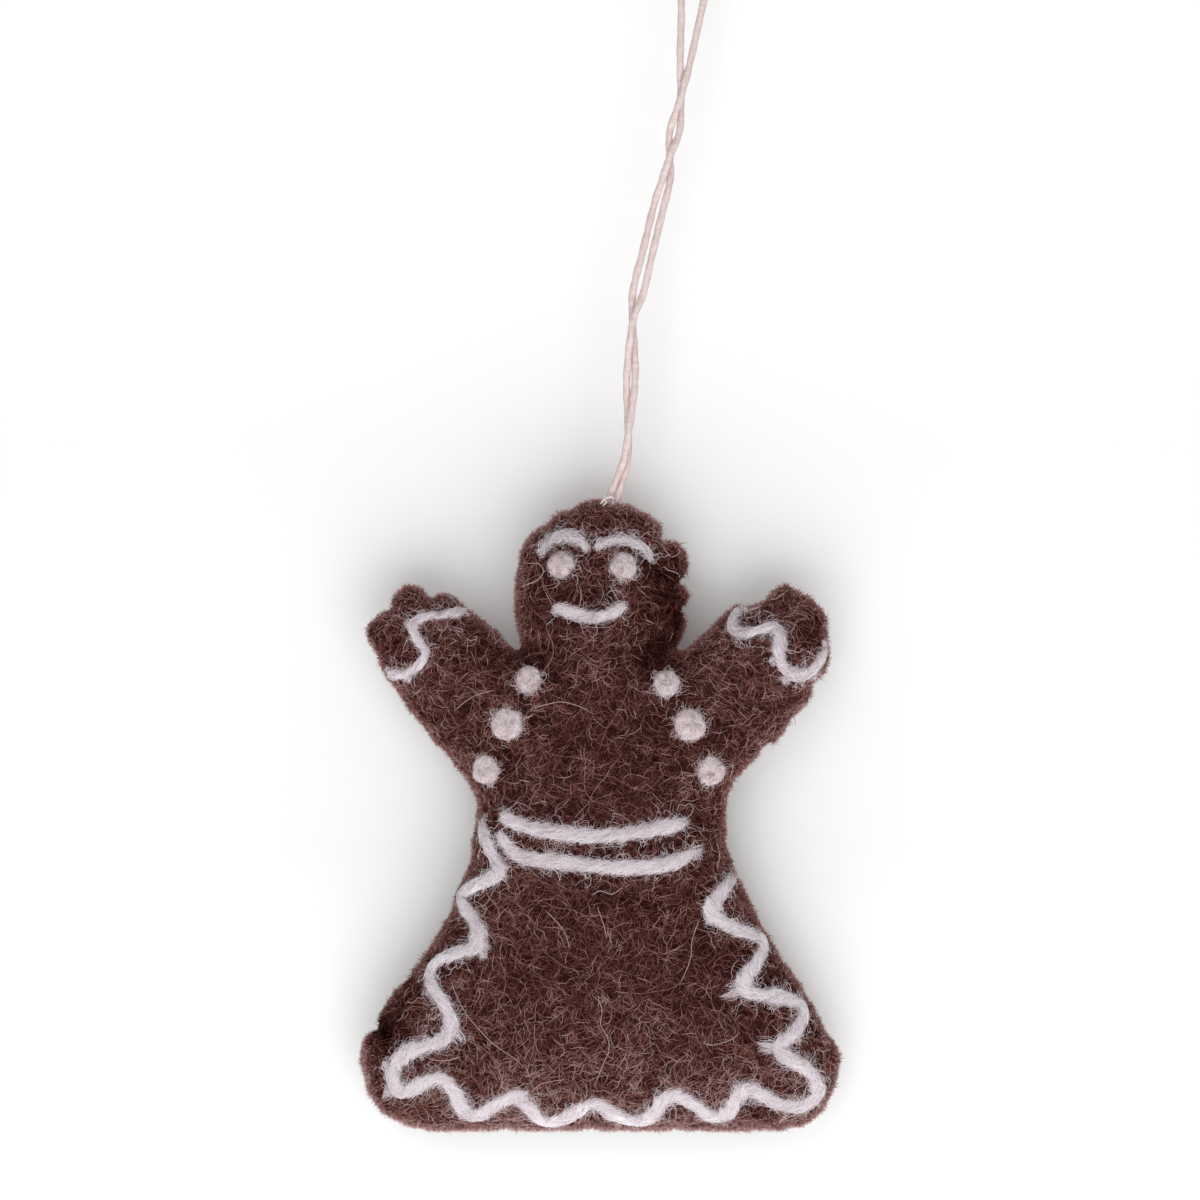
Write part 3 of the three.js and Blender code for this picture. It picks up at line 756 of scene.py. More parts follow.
class Surface:
    """The outer faces of the felt, which every strand of wool is laid on."""

    turned_in = -0.25
    steady_bend = 0.7
    step_bend = 0.55

    def __init__(self, panels: dict[Side, bpy.types.Object]) -> None:
        """Reads the panels' outer faces.

        Args:
            panels: the two felt panels.
        """
        points, faces, sides = [], [], []
        for side, panel in panels.items():
            mesh = panel.data
            shift = sum(len(p) for p in points)
            points.append(coordinates(mesh))
            for face in mesh.polygons:
                if face.normal.y * side.value > self.turned_in:
                    faces.append([shift + k for k in face.vertices])
                    sides.append(side.value)
        points = np.concatenate(points)
        self.sides = np.array(sides)
        self.tree = BVHTree.FromPolygons(points.tolist(), faces)
        a, b, c, d = (points[[face[k] for face in faces]] for k in (0, 1, 2, -1))
        self.centres = (a + b + c + d) / 4
        self.spans = (b - a, d - a)
        cross = np.cross(b - a, d - a)
        self.areas = np.linalg.norm(cross, axis=1)
        self.normals = unit(cross)

    def seen_at(self, column: float, row: float) -> tuple[Vector, Vector]:
        """Where a pixel of the picture meets the felt, or the felt nearest to it.

        Args:
            column: pixels from the picture's left edge.
            row: pixels from its top edge.

        Returns:
            The point and the felt's normal there.
        """
        eye, target = PICTURE.eye(), PICTURE.on_plane(column, row)
        place, normal, _, _ = self.tree.ray_cast(eye, (target - eye).normalized())
        if place is None:
            place, normal, _, _ = self.tree.find_nearest(target + Vector((0, -OUTLINE_DEPTH, 0)))
        return place, normal

    def seen_along(self, pixels: np.ndarray) -> tuple[np.ndarray, np.ndarray]:
        """Where many pixels of the picture meet the felt.

        Args:
            pixels: one column and row for each.

        Returns:
            The places and the felt's normals there.
        """
        seen = [self.seen_at(*pixel) for pixel in pixels]
        return np.array([place for place, _ in seen]), np.array([normal for _, normal in seen])

    def nearest(self, points: np.ndarray) -> tuple[np.ndarray, np.ndarray]:
        """The felt under many points.

        Args:
            points: one point per row.

        Returns:
            The nearest places on the felt and the normals there.
        """
        found = [self.tree.find_nearest(p)[:2] for p in points.tolist()]
        return np.array([f[0] for f in found]), np.array([f[1] for f in found])

    def scatter(self, count: int, rng: np.random.Generator, side: Side | None = None,
                weight: np.ndarray | None = None) -> tuple[np.ndarray, np.ndarray]:
        """Random places on the felt.

        Args:
            count: how many.
            rng: the source of chance.
            side: one panel, or None for both.
            weight: more or less of them, one number per face, or None for an even spread.

        Returns:
            The places and the normals there.
        """
        share = self.areas * (1 if side is None else self.sides == side.value)
        share = share * (1 if weight is None else weight)
        chosen = rng.choice(len(share), count, p=share / share.sum())
        u, v = rng.random((2, count, 1)) - 0.5
        places = self.centres[chosen] + u * self.spans[0][chosen] + v * self.spans[1][chosen]
        return places, self.normals[chosen]

    def crawl(self, starts: np.ndarray, normals: np.ndarray, headings: np.ndarray, lengths: np.ndarray,
              levels: int, curl: float, rng: np.random.Generator) -> tuple[np.ndarray, np.ndarray]:
        """Paths that follow the felt from their starts, bending as they go.

        Args:
            starts: first points.
            normals: the felt's normals there.
            headings: first directions.
            lengths: how long each path is.
            levels: points on each path.
            curl: how much a path bends, in radians over its whole length.
            rng: the source of chance.

        Returns:
            Paths on the felt and the normals along them, strands by points by xyz.
        """
        at, up = starts.copy(), normals.copy()
        along = unit(headings - (headings * up).sum(1, keepdims=True) * up)
        bend = rng.normal(0, self.steady_bend * curl, (len(at), 1)) / (levels - 1)
        step = lengths[:, None] / (levels - 1)
        paths, ups = [at], [up]
        for _ in range(levels - 1):
            turn = bend + rng.normal(0, self.step_bend * curl, (len(at), 1)) / math.sqrt(levels - 1)
            aside = np.cross(up, along)
            along = unit(along * np.cos(turn) + aside * np.sin(turn))
            at, up = self.nearest(at + along * step)
            along = unit(along - (along * up).sum(1, keepdims=True) * up)
            paths.append(at)
            ups.append(up)
        return np.stack(paths, 1), np.stack(ups, 1)


# Felt body


@dataclass
class FeltBody:
    """The two felt panels, with the tucks that the overcast thread draws in round the edge."""

    frame_nodes: dict
    voxel: float = 0.75 * MM
    rounding: int = 4
    lump_height: float = 0.28 * MM
    lump_size: float = 5.0 * MM
    grain_height: float = 0.12 * MM
    grain_size: float = 1.3 * MM
    stitch_inset: float = 2.3 * MM
    tuck_width: float = 1.15 * MM
    tuck_reach: float = 2.6 * MM
    lobe_width: float = 2.2 * MM
    thread_radius: float = 0.2 * MM
    rim_level: float = 1.25 * MM
    fuzz_room: float = 0.4 * MM
    seam_gap: float = 0.04 * MM
    seam_round: float = 0.85 * MM
    seam_reach: float = 2.2 * MM
    tucks: tuple = (
        (663, 534, 0.7), (689, 579, 0.75), (682, 616, 0.65), (672, 641, 0.4), (636, 516, 0.25),
        (607, 502, 0.3), (577, 508, 0.2), (545, 527, 0.25), (387, 606, 0.65), (432, 595, 0.8),
        (377, 657, 0.35), (397, 708, 0.25), (744, 604, 0.3), (769, 597, 0.35), (829, 640, 0.2),
        (812, 684, 0.5), (795, 714, 0.4), (768, 748, 0.3), (733, 781, 0.25), (381, 1027, 0.5),
        (375, 1100, 0.2), (836, 1024, 0.25), (790, 955, 0.2), (440, 950, 0.2),
    )
    lobes: tuple = (
        (412, 586, 0.2), (447, 593, 0.15), (368, 627, 0.25), (370, 645, 0.3), (697, 560, 0.2),
        (694, 597, 0.2), (815, 603, 0.3), (828, 640, 0.2), (362, 1056, 0.3), (728, 612, 0.8), (739, 603, 0.4),
        (651, 523, 0.2),
    )
    pits: tuple = (
        (663, 574, 1.3), (670, 575, 0.9), (677, 598, 0.8), (665, 613, 1.0), (671, 622, 0.7), (661, 640, 1.0),
        (655, 655, 0.6), (385, 1033, 1.5), (376, 1058, 0.5), (384, 1080, 0.4), (398, 1100, 0.3),
        (410, 980, 0.6), (783, 632, 0.6), (797, 634, 0.6), (540, 655, 0.4), (402, 1000, 0.8), (418, 962, 0.7),
        (500, 640, 0.4), (788, 700, 0.5),
    )
    tuck_fold: float = 0.6
    pit_width: float = 1.1 * MM
    pit_reach: float = 3.0 * MM
    pit_flatness: float = 1.5
    deepest: float = 1.7 * MM
    turned_in: float = -0.3
    thread_points: int = 9
    thread_depth: float = 3.4 * MM
    thread_lean: float = 0.5 * MM
    seam: np.ndarray = field(init=False)
    stitches: list = field(init=False)

    def seam_line(self) -> np.ndarray:
        """The sewn edge, read from the front panel's rim.

        Returns:
            Its points in order, each on the seam plane.
        """
        bm = merged(self.frame_nodes["front_panel"])
        rim = {v for v in bm.verts if abs(v.co.y + self.rim_level) < 5e-6}
        after = {v: [e.other_vert(v) for e in v.link_edges if e.other_vert(v) in rim] for v in rim}
        ends = [v for v in rim if len(after[v]) == 1]
        at = min(ends or rim, key=lambda v: (v.co.x, v.co.z))
        line, met = [at], {at}
        while True:
            ahead = [v for v in after[at] if v not in met]
            if not ahead:
                break
            at = min(ahead, key=lambda v: (v.co - at.co).length)
            line.append(at)
            met.add(at)
        points = np.array([(v.co.x, 0.0, v.co.z) for v in line])
        bm.free()
        return points[1:-1] if ends else points

    def seam_index(self, column: float, row: float) -> int:
        """The seam's point nearest to a pixel of the picture.

        Args:
            column: pixels from the picture's left edge.
            row: pixels from its top edge.

        Returns:
            Its index.
        """
        return int(np.linalg.norm(self.seam - np.array(PICTURE.on_plane(column, row)), axis=1).argmin())

    def frame_at(self, index: int) -> tuple[Vector, Vector, Vector]:
        """A seam point, the seam's direction there, and the way out of the figure.

        Args:
            index: the point's place in the seam.

        Returns:
            The point and the two directions.
        """
        before, at, after = (Vector(self.seam[(index + k) % len(self.seam)]) for k in (-1, 0, 1))
        along = (after - before).normalized()
        out = along.cross(Vector(Axis.DEEP.value))
        if self.inside(at + out * MM):
            out = -out
        return at, along, out

    def inset(self, points: np.ndarray) -> np.ndarray:
        """How far points lie from the seam, as the camera sees them.

        Args:
            points: one point per row.

        Returns:
            One distance for each.
        """
        tree = KDTree(len(self.seam))
        for i, point in enumerate(self.seam):
            tree.insert(point, i)
        tree.balance()
        return np.array([tree.find((x, 0.0, z))[2] for x, _, z in points.tolist()])

    def build(self) -> dict[Side, bpy.types.Object]:
        """Makes both panels.

        Returns:
            The panels by side.
        """
        self.seam = self.seam_line()
        self.stitches = [(self.seam_index(column, row), depth * MM) for column, row, depth in self.tucks]
        log.info("seam of %d points, %d stitches", len(self.seam), len(self.stitches))
        return {side: self.panel(side) for side in Side}

    def panel(self, side: Side) -> bpy.types.Object:
        """Makes one panel: remeshed, rounded, then shaped by lumps, tucks and pits.

        Args:
            side: which panel.

        Returns:
            The panel.
        """
        node = "front_panel" if side is Side.FRONT else "back_panel"
        name = node + "_felt"
        rough = show(plain_mesh(merged(self.frame_nodes[node]), name), name)
        remesh = rough.modifiers.new("even", "REMESH")
        remesh.mode, remesh.voxel_size = "VOXEL", self.voxel
        bpy.context.view_layer.update()
        made = bpy.data.meshes.new_from_object(rough.evaluated_get(bpy.context.evaluated_depsgraph_get()))
        bpy.data.objects.remove(rough)
        bm = bmesh.new()
        bm.from_mesh(made)
        for _ in range(self.rounding):
            bmesh.ops.smooth_vert(bm, verts=list(bm.verts), factor=0.5, use_axis_x=True, use_axis_y=True,
                                  use_axis_z=True)
        for vert in bm.verts:
            vert.co.y = side.value * self.closed(abs(vert.co.y))
        bm.normal_update()
        self.shape(bm, side)
        bm.to_mesh(made)
        bm.free()
        made.shade_smooth()
        panel = show(made, name, FELT)
        return settle(panel, "brown_felt", node)

    def closed(self, depth: float) -> float:
        """Where a point goes when a panel's rounded rim is drawn onto the seam plane, as the thread draws it.

        Args:
            depth: the point's distance from the seam plane.

        Returns:
            Its new distance.
        """
        if depth > self.seam_reach:
            return depth
        share = max(depth - self.seam_round, 0.0) / (self.seam_reach - self.seam_round)
        return self.seam_gap + share * (self.seam_reach - self.seam_gap)

    def shape(self, bm: bmesh.types.BMesh, side: Side) -> None:
        """Moves a panel's outer face to its lumps, tucks and pits.

        Args:
            bm: the panel.
            side: which panel it is.
        """
        fold = self.tuck_fold
        pushes = [(*self.frame_at(index), depth, self.tuck_width, fold) for index, depth in self.stitches]
        for column, row, depth in self.lobes:
            pushes.append((*self.frame_at(self.seam_index(column, row)), -depth * MM, self.lobe_width, 0.0))
        pits = [(PICTURE.on_plane(column, row), depth * MM) for column, row, depth in self.pits]
        for vert in bm.verts:
            outward = vert.normal.y * side.value
            flat = Vector((vert.co.x, 0.0, vert.co.z))
            slide, depth = self.pushed(flat, pushes)
            vert.co += slide
            level = Vector((vert.normal.x, 0.0, vert.normal.z))
            vert.co -= level * self.fuzz_room * level.length
            if outward < self.turned_in:
                continue
            if side is Side.FRONT:
                depth += self.pitted(flat, pits)
            inside = min(max(outward, 0.0) * 2, 1.0)
            lump = noise.noise(vert.co / self.lump_size) * self.lump_height
            grain = noise.fractal(vert.co / self.grain_size, 1.0, 2.0, 3) * self.grain_height
            vert.co += vert.normal * (inside * (lump + grain) - min(depth, self.deepest))

    def pushed(self, flat: Vector, pushes: list) -> tuple[Vector, float]:
        """What the tucks and lobes do to a point.

        Args:
            flat: the point on the seam plane.
            pushes: the place, directions, depth, width and fold of each tuck and lobe.

        Returns:
            The way that it slides in the seam plane, and how deep it sinks into the felt.
        """
        slide, sunk = Vector(), 0.0
        for at, along, out, deep, width, fold in pushes:
            gap = flat - at
            if gap.length < 2.5 * self.tuck_reach:
                aside = gap.dot(along)
                inset = math.sqrt(max(gap.length_squared - aside * aside, 0.0))
                share = math.exp(-((aside / width) ** 2) - (inset / self.tuck_reach) ** 2)
                slide -= out * deep * share
                sunk += fold * deep * share
        return slide, sunk

    def pitted(self, flat: Vector, pits: list) -> float:
        """How deep the pits sink a point.

        Args:
            flat: the point on the seam plane.
            pits: the place and depth of each pit.

        Returns:
            The depth.
        """
        sunk = 0.0
        for place, deep in pits:
            gap = flat - place
            gap.z *= self.pit_flatness
            if gap.length < self.pit_reach:
                sunk += deep * math.exp(-((gap.length / self.pit_width) ** 2))
        return sunk

    def thread(self, surface: Surface) -> None:
        """Makes the overcast thread: one short strand over the edge at each stitch.

        Args:
            surface: the felt that it lies on.
        """
        paths, normals = [], []
        last = self.thread_points - 1
        for index, pull in self.stitches:
            at, along, out = self.frame_at(index)
            at = at - out * pull
            path = []
            for j, share in enumerate(np.linspace(-1, 1, self.thread_points)):
                inset = self.stitch_inset * abs(share) ** 1.5 - self.thread_radius
                guess = at - out * inset + Vector((0, share * self.thread_depth, 0))
                place, normal, _, _ = surface.tree.find_nearest(guess + along * share * self.thread_lean)
                lift = self.thread_radius * (0.35 if 0 < j < last else -1.5)
                path.append((place + normal * lift, normal))
            paths.append([p for p, _ in path])
            normals.append([n for _, n in path])
        strands = Strands()
        strands.add(np.array(paths), np.array(normals), self.thread_radius, 0.3, sides=6)
        strands.piece("seam_thread", THREAD, "brown_felt")

    def inside(self, point: Vector) -> bool:
        """Whether a point of the seam plane lies inside the seam.

        Args:
            point: the point.

        Returns:
            True inside.
        """
        x, z = self.seam[:, 0], self.seam[:, 2]
        x2, z2 = np.roll(x, -1), np.roll(z, -1)
        crosses = (z > point.z) != (z2 > point.z)
        with np.errstate(divide="ignore", invalid="ignore"):
            left = point.x < (x2 - x) * (point.z - z) / (z2 - z) + x
        return bool(np.count_nonzero(crosses & left) % 2)

    def stuffing(self) -> None:
        """Makes the loose wool inside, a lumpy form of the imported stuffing."""
        bm = merged(self.frame_nodes["wool_stuffing"])
        bmesh.ops.subdivide_edges(bm, edges=[e for e in bm.edges if e.calc_length() > 3 * MM], cuts=1)
        bmesh.ops.triangulate(bm, faces=list(bm.faces))
        bm.normal_update()
        for vert in bm.verts:
            vert.co -= vert.normal * abs(noise.noise(vert.co / (3 * MM))) * 0.4 * MM
        piece = show(plain_mesh(bm, "stuffing_wool"), "stuffing_wool", RAW_WOOL)
        settle(piece, "raw_wool", "wool_stuffing")


# Nap of the felt


@dataclass(frozen=True)
class PaintedLightAndShadePatch:
    """A place of the picture where the felt's fibres are painted lighter, as painted light, or darker where
    the shift is below zero, as painted shade.
    """

    column: float
    row: float
    wide: float
    tall: float
    shift: float

    def at(self, points: np.ndarray) -> np.ndarray:
        """The shift in tone at points of the felt.

        Args:
            points: one point per row.

        Returns:
            One number for each.
        """
        middle = PICTURE.on_plane(self.column, self.row)
        across = (points[:, 0] - middle.x) / (self.wide * PICTURE.pixel)
        up = (points[:, 2] - middle.z) / (self.tall * PICTURE.pixel)
        return self.shift * np.exp(-(across**2) - up**2)


# Painted light and shade on the fibres. Painted light from below and the front makes them lighter at the hem,
# the forehead, the arms and the skirt's lower left edge. Painted shade makes them darker over the bodice and
# the skirt's middle, and darkest in the pits, tucks and creases.
PAINTED_LIGHT_AND_SHADE_PATCHES = tuple(PaintedLightAndShadePatch(*values) for values in (
    (600, 1115, 330, 75, 0.20), (357, 1065, 22, 55, 0.12), (585, 522, 90, 28, 0.12), (600, 650, 70, 30, 0.05),
    (420, 660, 60, 70, 0.09), (790, 660, 60, 70, 0.09), (590, 600, 40, 30, -0.03), (500, 730, 40, 60, 0.05),
    (600, 905, 110, 40, -0.04), (600, 745, 85, 70, -0.07), (700, 970, 35, 60, -0.08),
    (386, 1032, 13, 17, -0.8), (410, 985, 9, 15, -0.3), (664, 574, 17, 10, -0.8), (671, 611, 13, 14, -0.6),
    (660, 639, 16, 9, -0.65), (533, 657, 18, 12, -0.5), (797, 634, 24, 6, -0.3), (484, 656, 12, 9, -0.3),
    (652, 660, 20, 13, -0.55), (770, 1030, 10, 12, -0.2),
))


def painted_light_and_shade_shift(points: np.ndarray) -> np.ndarray:
    """How much painted light lifts, or painted shade lowers, the fibres' tone at points of the felt.

    Args:
        points: one point per row.

    Returns:
        The sum of all the patches' shifts.
    """
    return sum(patch.at(points) for patch in PAINTED_LIGHT_AND_SHADE_PATCHES)


@dataclass(frozen=True)
class NapLayer:
    """Fibres that lie matted on the felt. Lengths, widths and heights are in mm."""

    name: str
    side: Side
    count: int
    length: Range
    radius: Range
    lift: Range
    curl: float
    tone: Range
    seed: int
    levels: int = 5
    sweep: float = 0.65
    flow_size: float = 5.0
    clump_size: float = 2.6
    clump_share: float = 0.34
    level_lean: float = 1.3
    tip_sink: float = 0.05

    def build(self, surface: Surface) -> None:
        """Lays the fibres and makes the piece.

        Args:
            surface: the felt.
        """
        rng = np.random.default_rng(self.seed)
        starts, normals = surface.scatter(self.count, rng, self.side)
        flow = noise_at(starts, self.flow_size * MM) * 2 * math.pi
        turn = flow + rng.normal(0, self.sweep, self.count) + rng.choice([0.0, math.pi], self.count)
        headings = np.stack([self.level_lean * np.cos(turn), np.zeros(self.count), np.sin(turn)], 1)
        lengths = rng.uniform(*self.length, self.count) * MM
        paths, ups = surface.crawl(starts, normals, headings, lengths, self.levels, self.curl, rng)
        top = rng.uniform(*self.lift, (self.count, 1)) * MM
        wave = rng.uniform(0.2, 1.0, (self.count, self.levels))
        rise = arch(self.levels)
        lift = top * rise * wave - self.tip_sink * MM * (rise < 0.1)
        radius = rng.uniform(*self.radius, self.count) * MM
        low, high = self.tone
        clump = noise_at(starts, self.clump_size * MM, (9, 4, 2)) * self.clump_share
        # The patches add painted light and shade to each fibre's tone.
        tone = low + (high - low) * rng.beta(1.1, 1.5, self.count) + clump + painted_light_and_shade_shift(starts)
        strands = Strands()
        strands.add(paths + ups * lift[..., None], ups, radius, np.clip(tone, 0.0, LIGHTEST_TONE))
        strands.piece(self.name, FELT_FIBRES, "brown_felt")


@dataclass(frozen=True)
class Fuzz:
    """Short fibres that stand up from the felt. Lengths and widths are in mm."""

    name: str
    count: int
    length: Range
    edge_share: float
    tone: Range
    seed: int
    radius: Range
    edge_width: float = 2.4
    rim_share: float = 5.0
    rim_turn: float = 0.4
    droop: float = 0.35
    spread: float = 0.6
    root_depth: float = 0.1

    def build(self, surface: Surface, body: FeltBody) -> None:
        """Plants the fibres and makes the piece.

        Args:
            surface: the felt.
            body: the felt body, for its seam.
        """
        rng = np.random.default_rng(self.seed)
        rim = 1 + self.rim_share * np.exp(-((surface.normals[:, 1] / self.rim_turn) ** 2))
        inset = body.inset(surface.centres)
        weight = 1 + self.edge_share * rim * np.exp(-((inset / (self.edge_width * MM)) ** 2))
        starts, normals = surface.scatter(self.count, rng, None, weight)
        lean = unit(rng.normal(0, 1, (self.count, 3)))
        lean = unit(lean - (lean * normals).sum(1, keepdims=True) * normals)
        lengths = (rng.uniform(*self.length, (self.count, 1)) * MM)[:, None]
        tilt = rng.uniform(0.0, 1.1, (self.count, 1, 1))
        bend = rng.uniform(-0.7, 0.9, (self.count, 1, 1))
        steps = np.linspace(0, 1, 3)[None, :, None]
        up, over = normals[:, None], lean[:, None]
        paths = starts[:, None] + lengths * (up * steps * (1 - self.droop * steps)
                                             + over * (tilt * steps + bend * steps**2) * self.spread)
        strands = Strands()
        radius = rng.uniform(*self.radius, self.count) * MM
        # The patches add painted light and shade to each fibre's tone.
        tone = rng.uniform(*self.tone, self.count) + painted_light_and_shade_shift(starts)
        strands.add(paths - up * self.root_depth * MM, over, radius, np.clip(tone, 0.0, LIGHTEST_TONE),
                    taper=np.array([0, 1, 0]))
        strands.piece(self.name, FELT_FIBRES, "brown_felt")


@dataclass(frozen=True)
class Hairs:
    """Single hairs on the felt, some along places of the picture and some anywhere. Sizes are in mm."""

    name: str
    finish: Finish
    placed: tuple
    levels: int
    lift: float
    radius: float
    tone: float
    sides: int = 3
    loose: int = 0
    loose_length: Range = (6, 20)
    loose_lift: Range = (0.15, 0.5)
    loose_radius: Range = (0.032, 0.05)
    loose_tone: Range = (0.78, 0.96)
    curl: float = 1.8
    seed: int = 8

    def build(self, surface: Surface) -> None:
        """Lays the hairs and makes the piece.

        Args:
            surface: the felt.
        """
        strands = Strands()
        for points in self.placed:
            path, ups = surface.seen_along(resample(points, self.levels))
            strands.add(path + ups * self.lift * MM, ups, self.radius * MM, self.tone, self.sides)
        if self.loose:
            self.scatter(strands, surface)
        strands.piece(self.name, self.finish, "brown_felt")

    def scatter(self, strands: Strands, surface: Surface) -> None:
        """Adds the hairs that lie anywhere.

        Args:
            strands: where the hairs go.
            surface: the felt.
        """
        rng = np.random.default_rng(self.seed)
        starts, normals = surface.scatter(self.loose, rng)
        headings = rng.normal(0, 1, (self.loose, 3))
        lengths = rng.uniform(*self.loose_length, self.loose) * MM
        paths, ups = surface.crawl(starts, normals, headings, lengths, self.levels, self.curl, rng)
        lift = rng.uniform(*self.loose_lift, (self.loose, 1)) * MM * arch(self.levels)
        radius = rng.uniform(*self.loose_radius, self.loose) * MM
        strands.add(paths + ups * lift[..., None], ups, radius, rng.uniform(*self.loose_tone, self.loose))


STRAY_HAIRS = Hairs(
    "stray_hairs", FELT_FIBRES, levels=18, lift=0.32, radius=0.058, tone=0.98, loose=120,
    placed=(
        ((511, 592), (525, 586), (537, 581), (544, 572), (539, 564), (522, 564)),
        ((545, 910), (555, 920), (565, 932), (570, 950)),
        ((591, 896), (600, 891), (612, 894), (623, 887)),
        ((700, 917), (692, 940), (690, 960), (680, 984)),
        ((590, 994), (600, 1002), (602, 1015), (600, 1024), (607, 1036), (609, 1050), (602, 1067),
         (594, 1087)),
        ((450, 977), (455, 992), (465, 1012), (477, 1027), (490, 1041), (502, 1050), (517, 1060),
         (526, 1070)),
        ((422, 1055), (435, 1060), (450, 1060), (462, 1056)),
        ((530, 1092), (540, 1084), (552, 1081), (565, 1079)),
        ((702, 1042), (712, 1045), (730, 1040), (740, 1032)),
        ((597, 906), (602, 920), (605, 930), (607, 939)),
        ((530, 709), (545, 705), (560, 702), (575, 705), (587, 710), (595, 715)),
        ((455, 711), (465, 702), (477, 695), (495, 690)),
        ((581, 587), (581, 600), (578, 612)),
        ((610, 587), (616, 597), (620, 606)),
        ((648, 528), (657, 533), (664, 537), (670, 544), (677, 549), (679, 553), (670, 558), (667, 554),
         (660, 546), (654, 541), (650, 540)),
        ((654, 544), (650, 549), (649, 555)), ((650, 550), (656, 549)),
        ((662, 567), (671, 570), (681, 576), (684, 582)),
        ((743, 620), (758, 616), (761, 608), (767, 602), (776, 600), (783, 595), (792, 588)),
        ((757, 605), (761, 612), (759, 618), (761, 624), (767, 622), (773, 618), (772, 614), (767, 612),
         (762, 612)),
        ((427, 605), (428, 602), (433, 602), (435, 606), (432, 607), (429, 606)),
        ((440, 600), (443, 602), (442, 606), (437, 606)),
        ((408, 608), (412, 610), (418, 612), (425, 610)), ((400, 615), (401, 618), (404, 620)),
        ((451, 628), (457, 629), (463, 631), (460, 633), (454, 630)),
        ((467, 638), (470, 641), (475, 640), (477, 638), (473, 637)),
        ((520, 780), (526, 781), (531, 782)), ((634, 790), (636, 787), (638, 786)),
        ((642, 691), (652, 693), (660, 694), (668, 694)),
        ((542, 671), (547, 675), (545, 681), (540, 683)),
        ((664, 815), (665, 810), (672, 814), (680, 820)), ((555, 815), (558, 815), (562, 818)),
        ((715, 842), (718, 855), (716, 870)),
    ))

RED_LINT = Hairs(
    "red_lint", RED_FIBRES, levels=6, lift=0.45, radius=0.09, tone=0.5, sides=4,
    placed=(
        ((646, 540), (649, 542), (650, 546), (653, 548)), ((535, 692), (537, 697), (536, 702)),
        ((673, 604), (675, 609), (677, 613)),
    ))


# White wool


def value_at(values: np.ndarray, share: np.ndarray) -> np.ndarray:
    """What a line's values are between its points.

    Args:
        values: a number or a vector for each point of the line.
        share: places along it, from 0 to 1.

    Returns:
        The number or vector at each place.
    """
    place = np.clip(share, 0, 1) * (len(values) - 1)
    low = np.minimum(place.astype(int), len(values) - 2)
    part = place - low
    part = part[..., None] if values.ndim > 1 else part
    return values[low] * (1 - part) + values[low + 1] * part


@dataclass
class Course:
    """The way that a wool line takes over the felt."""

    centre: np.ndarray
    ups: np.ndarray
    half: np.ndarray
    length: float
    forward: np.ndarray = field(init=False)
    aside: np.ndarray = field(init=False)

    def __post_init__(self) -> None:
        """Finds the directions along the line and across it."""
        self.forward = unit(np.gradient(self.centre, axis=0))
        self.aside = unit(np.cross(self.forward, self.ups))


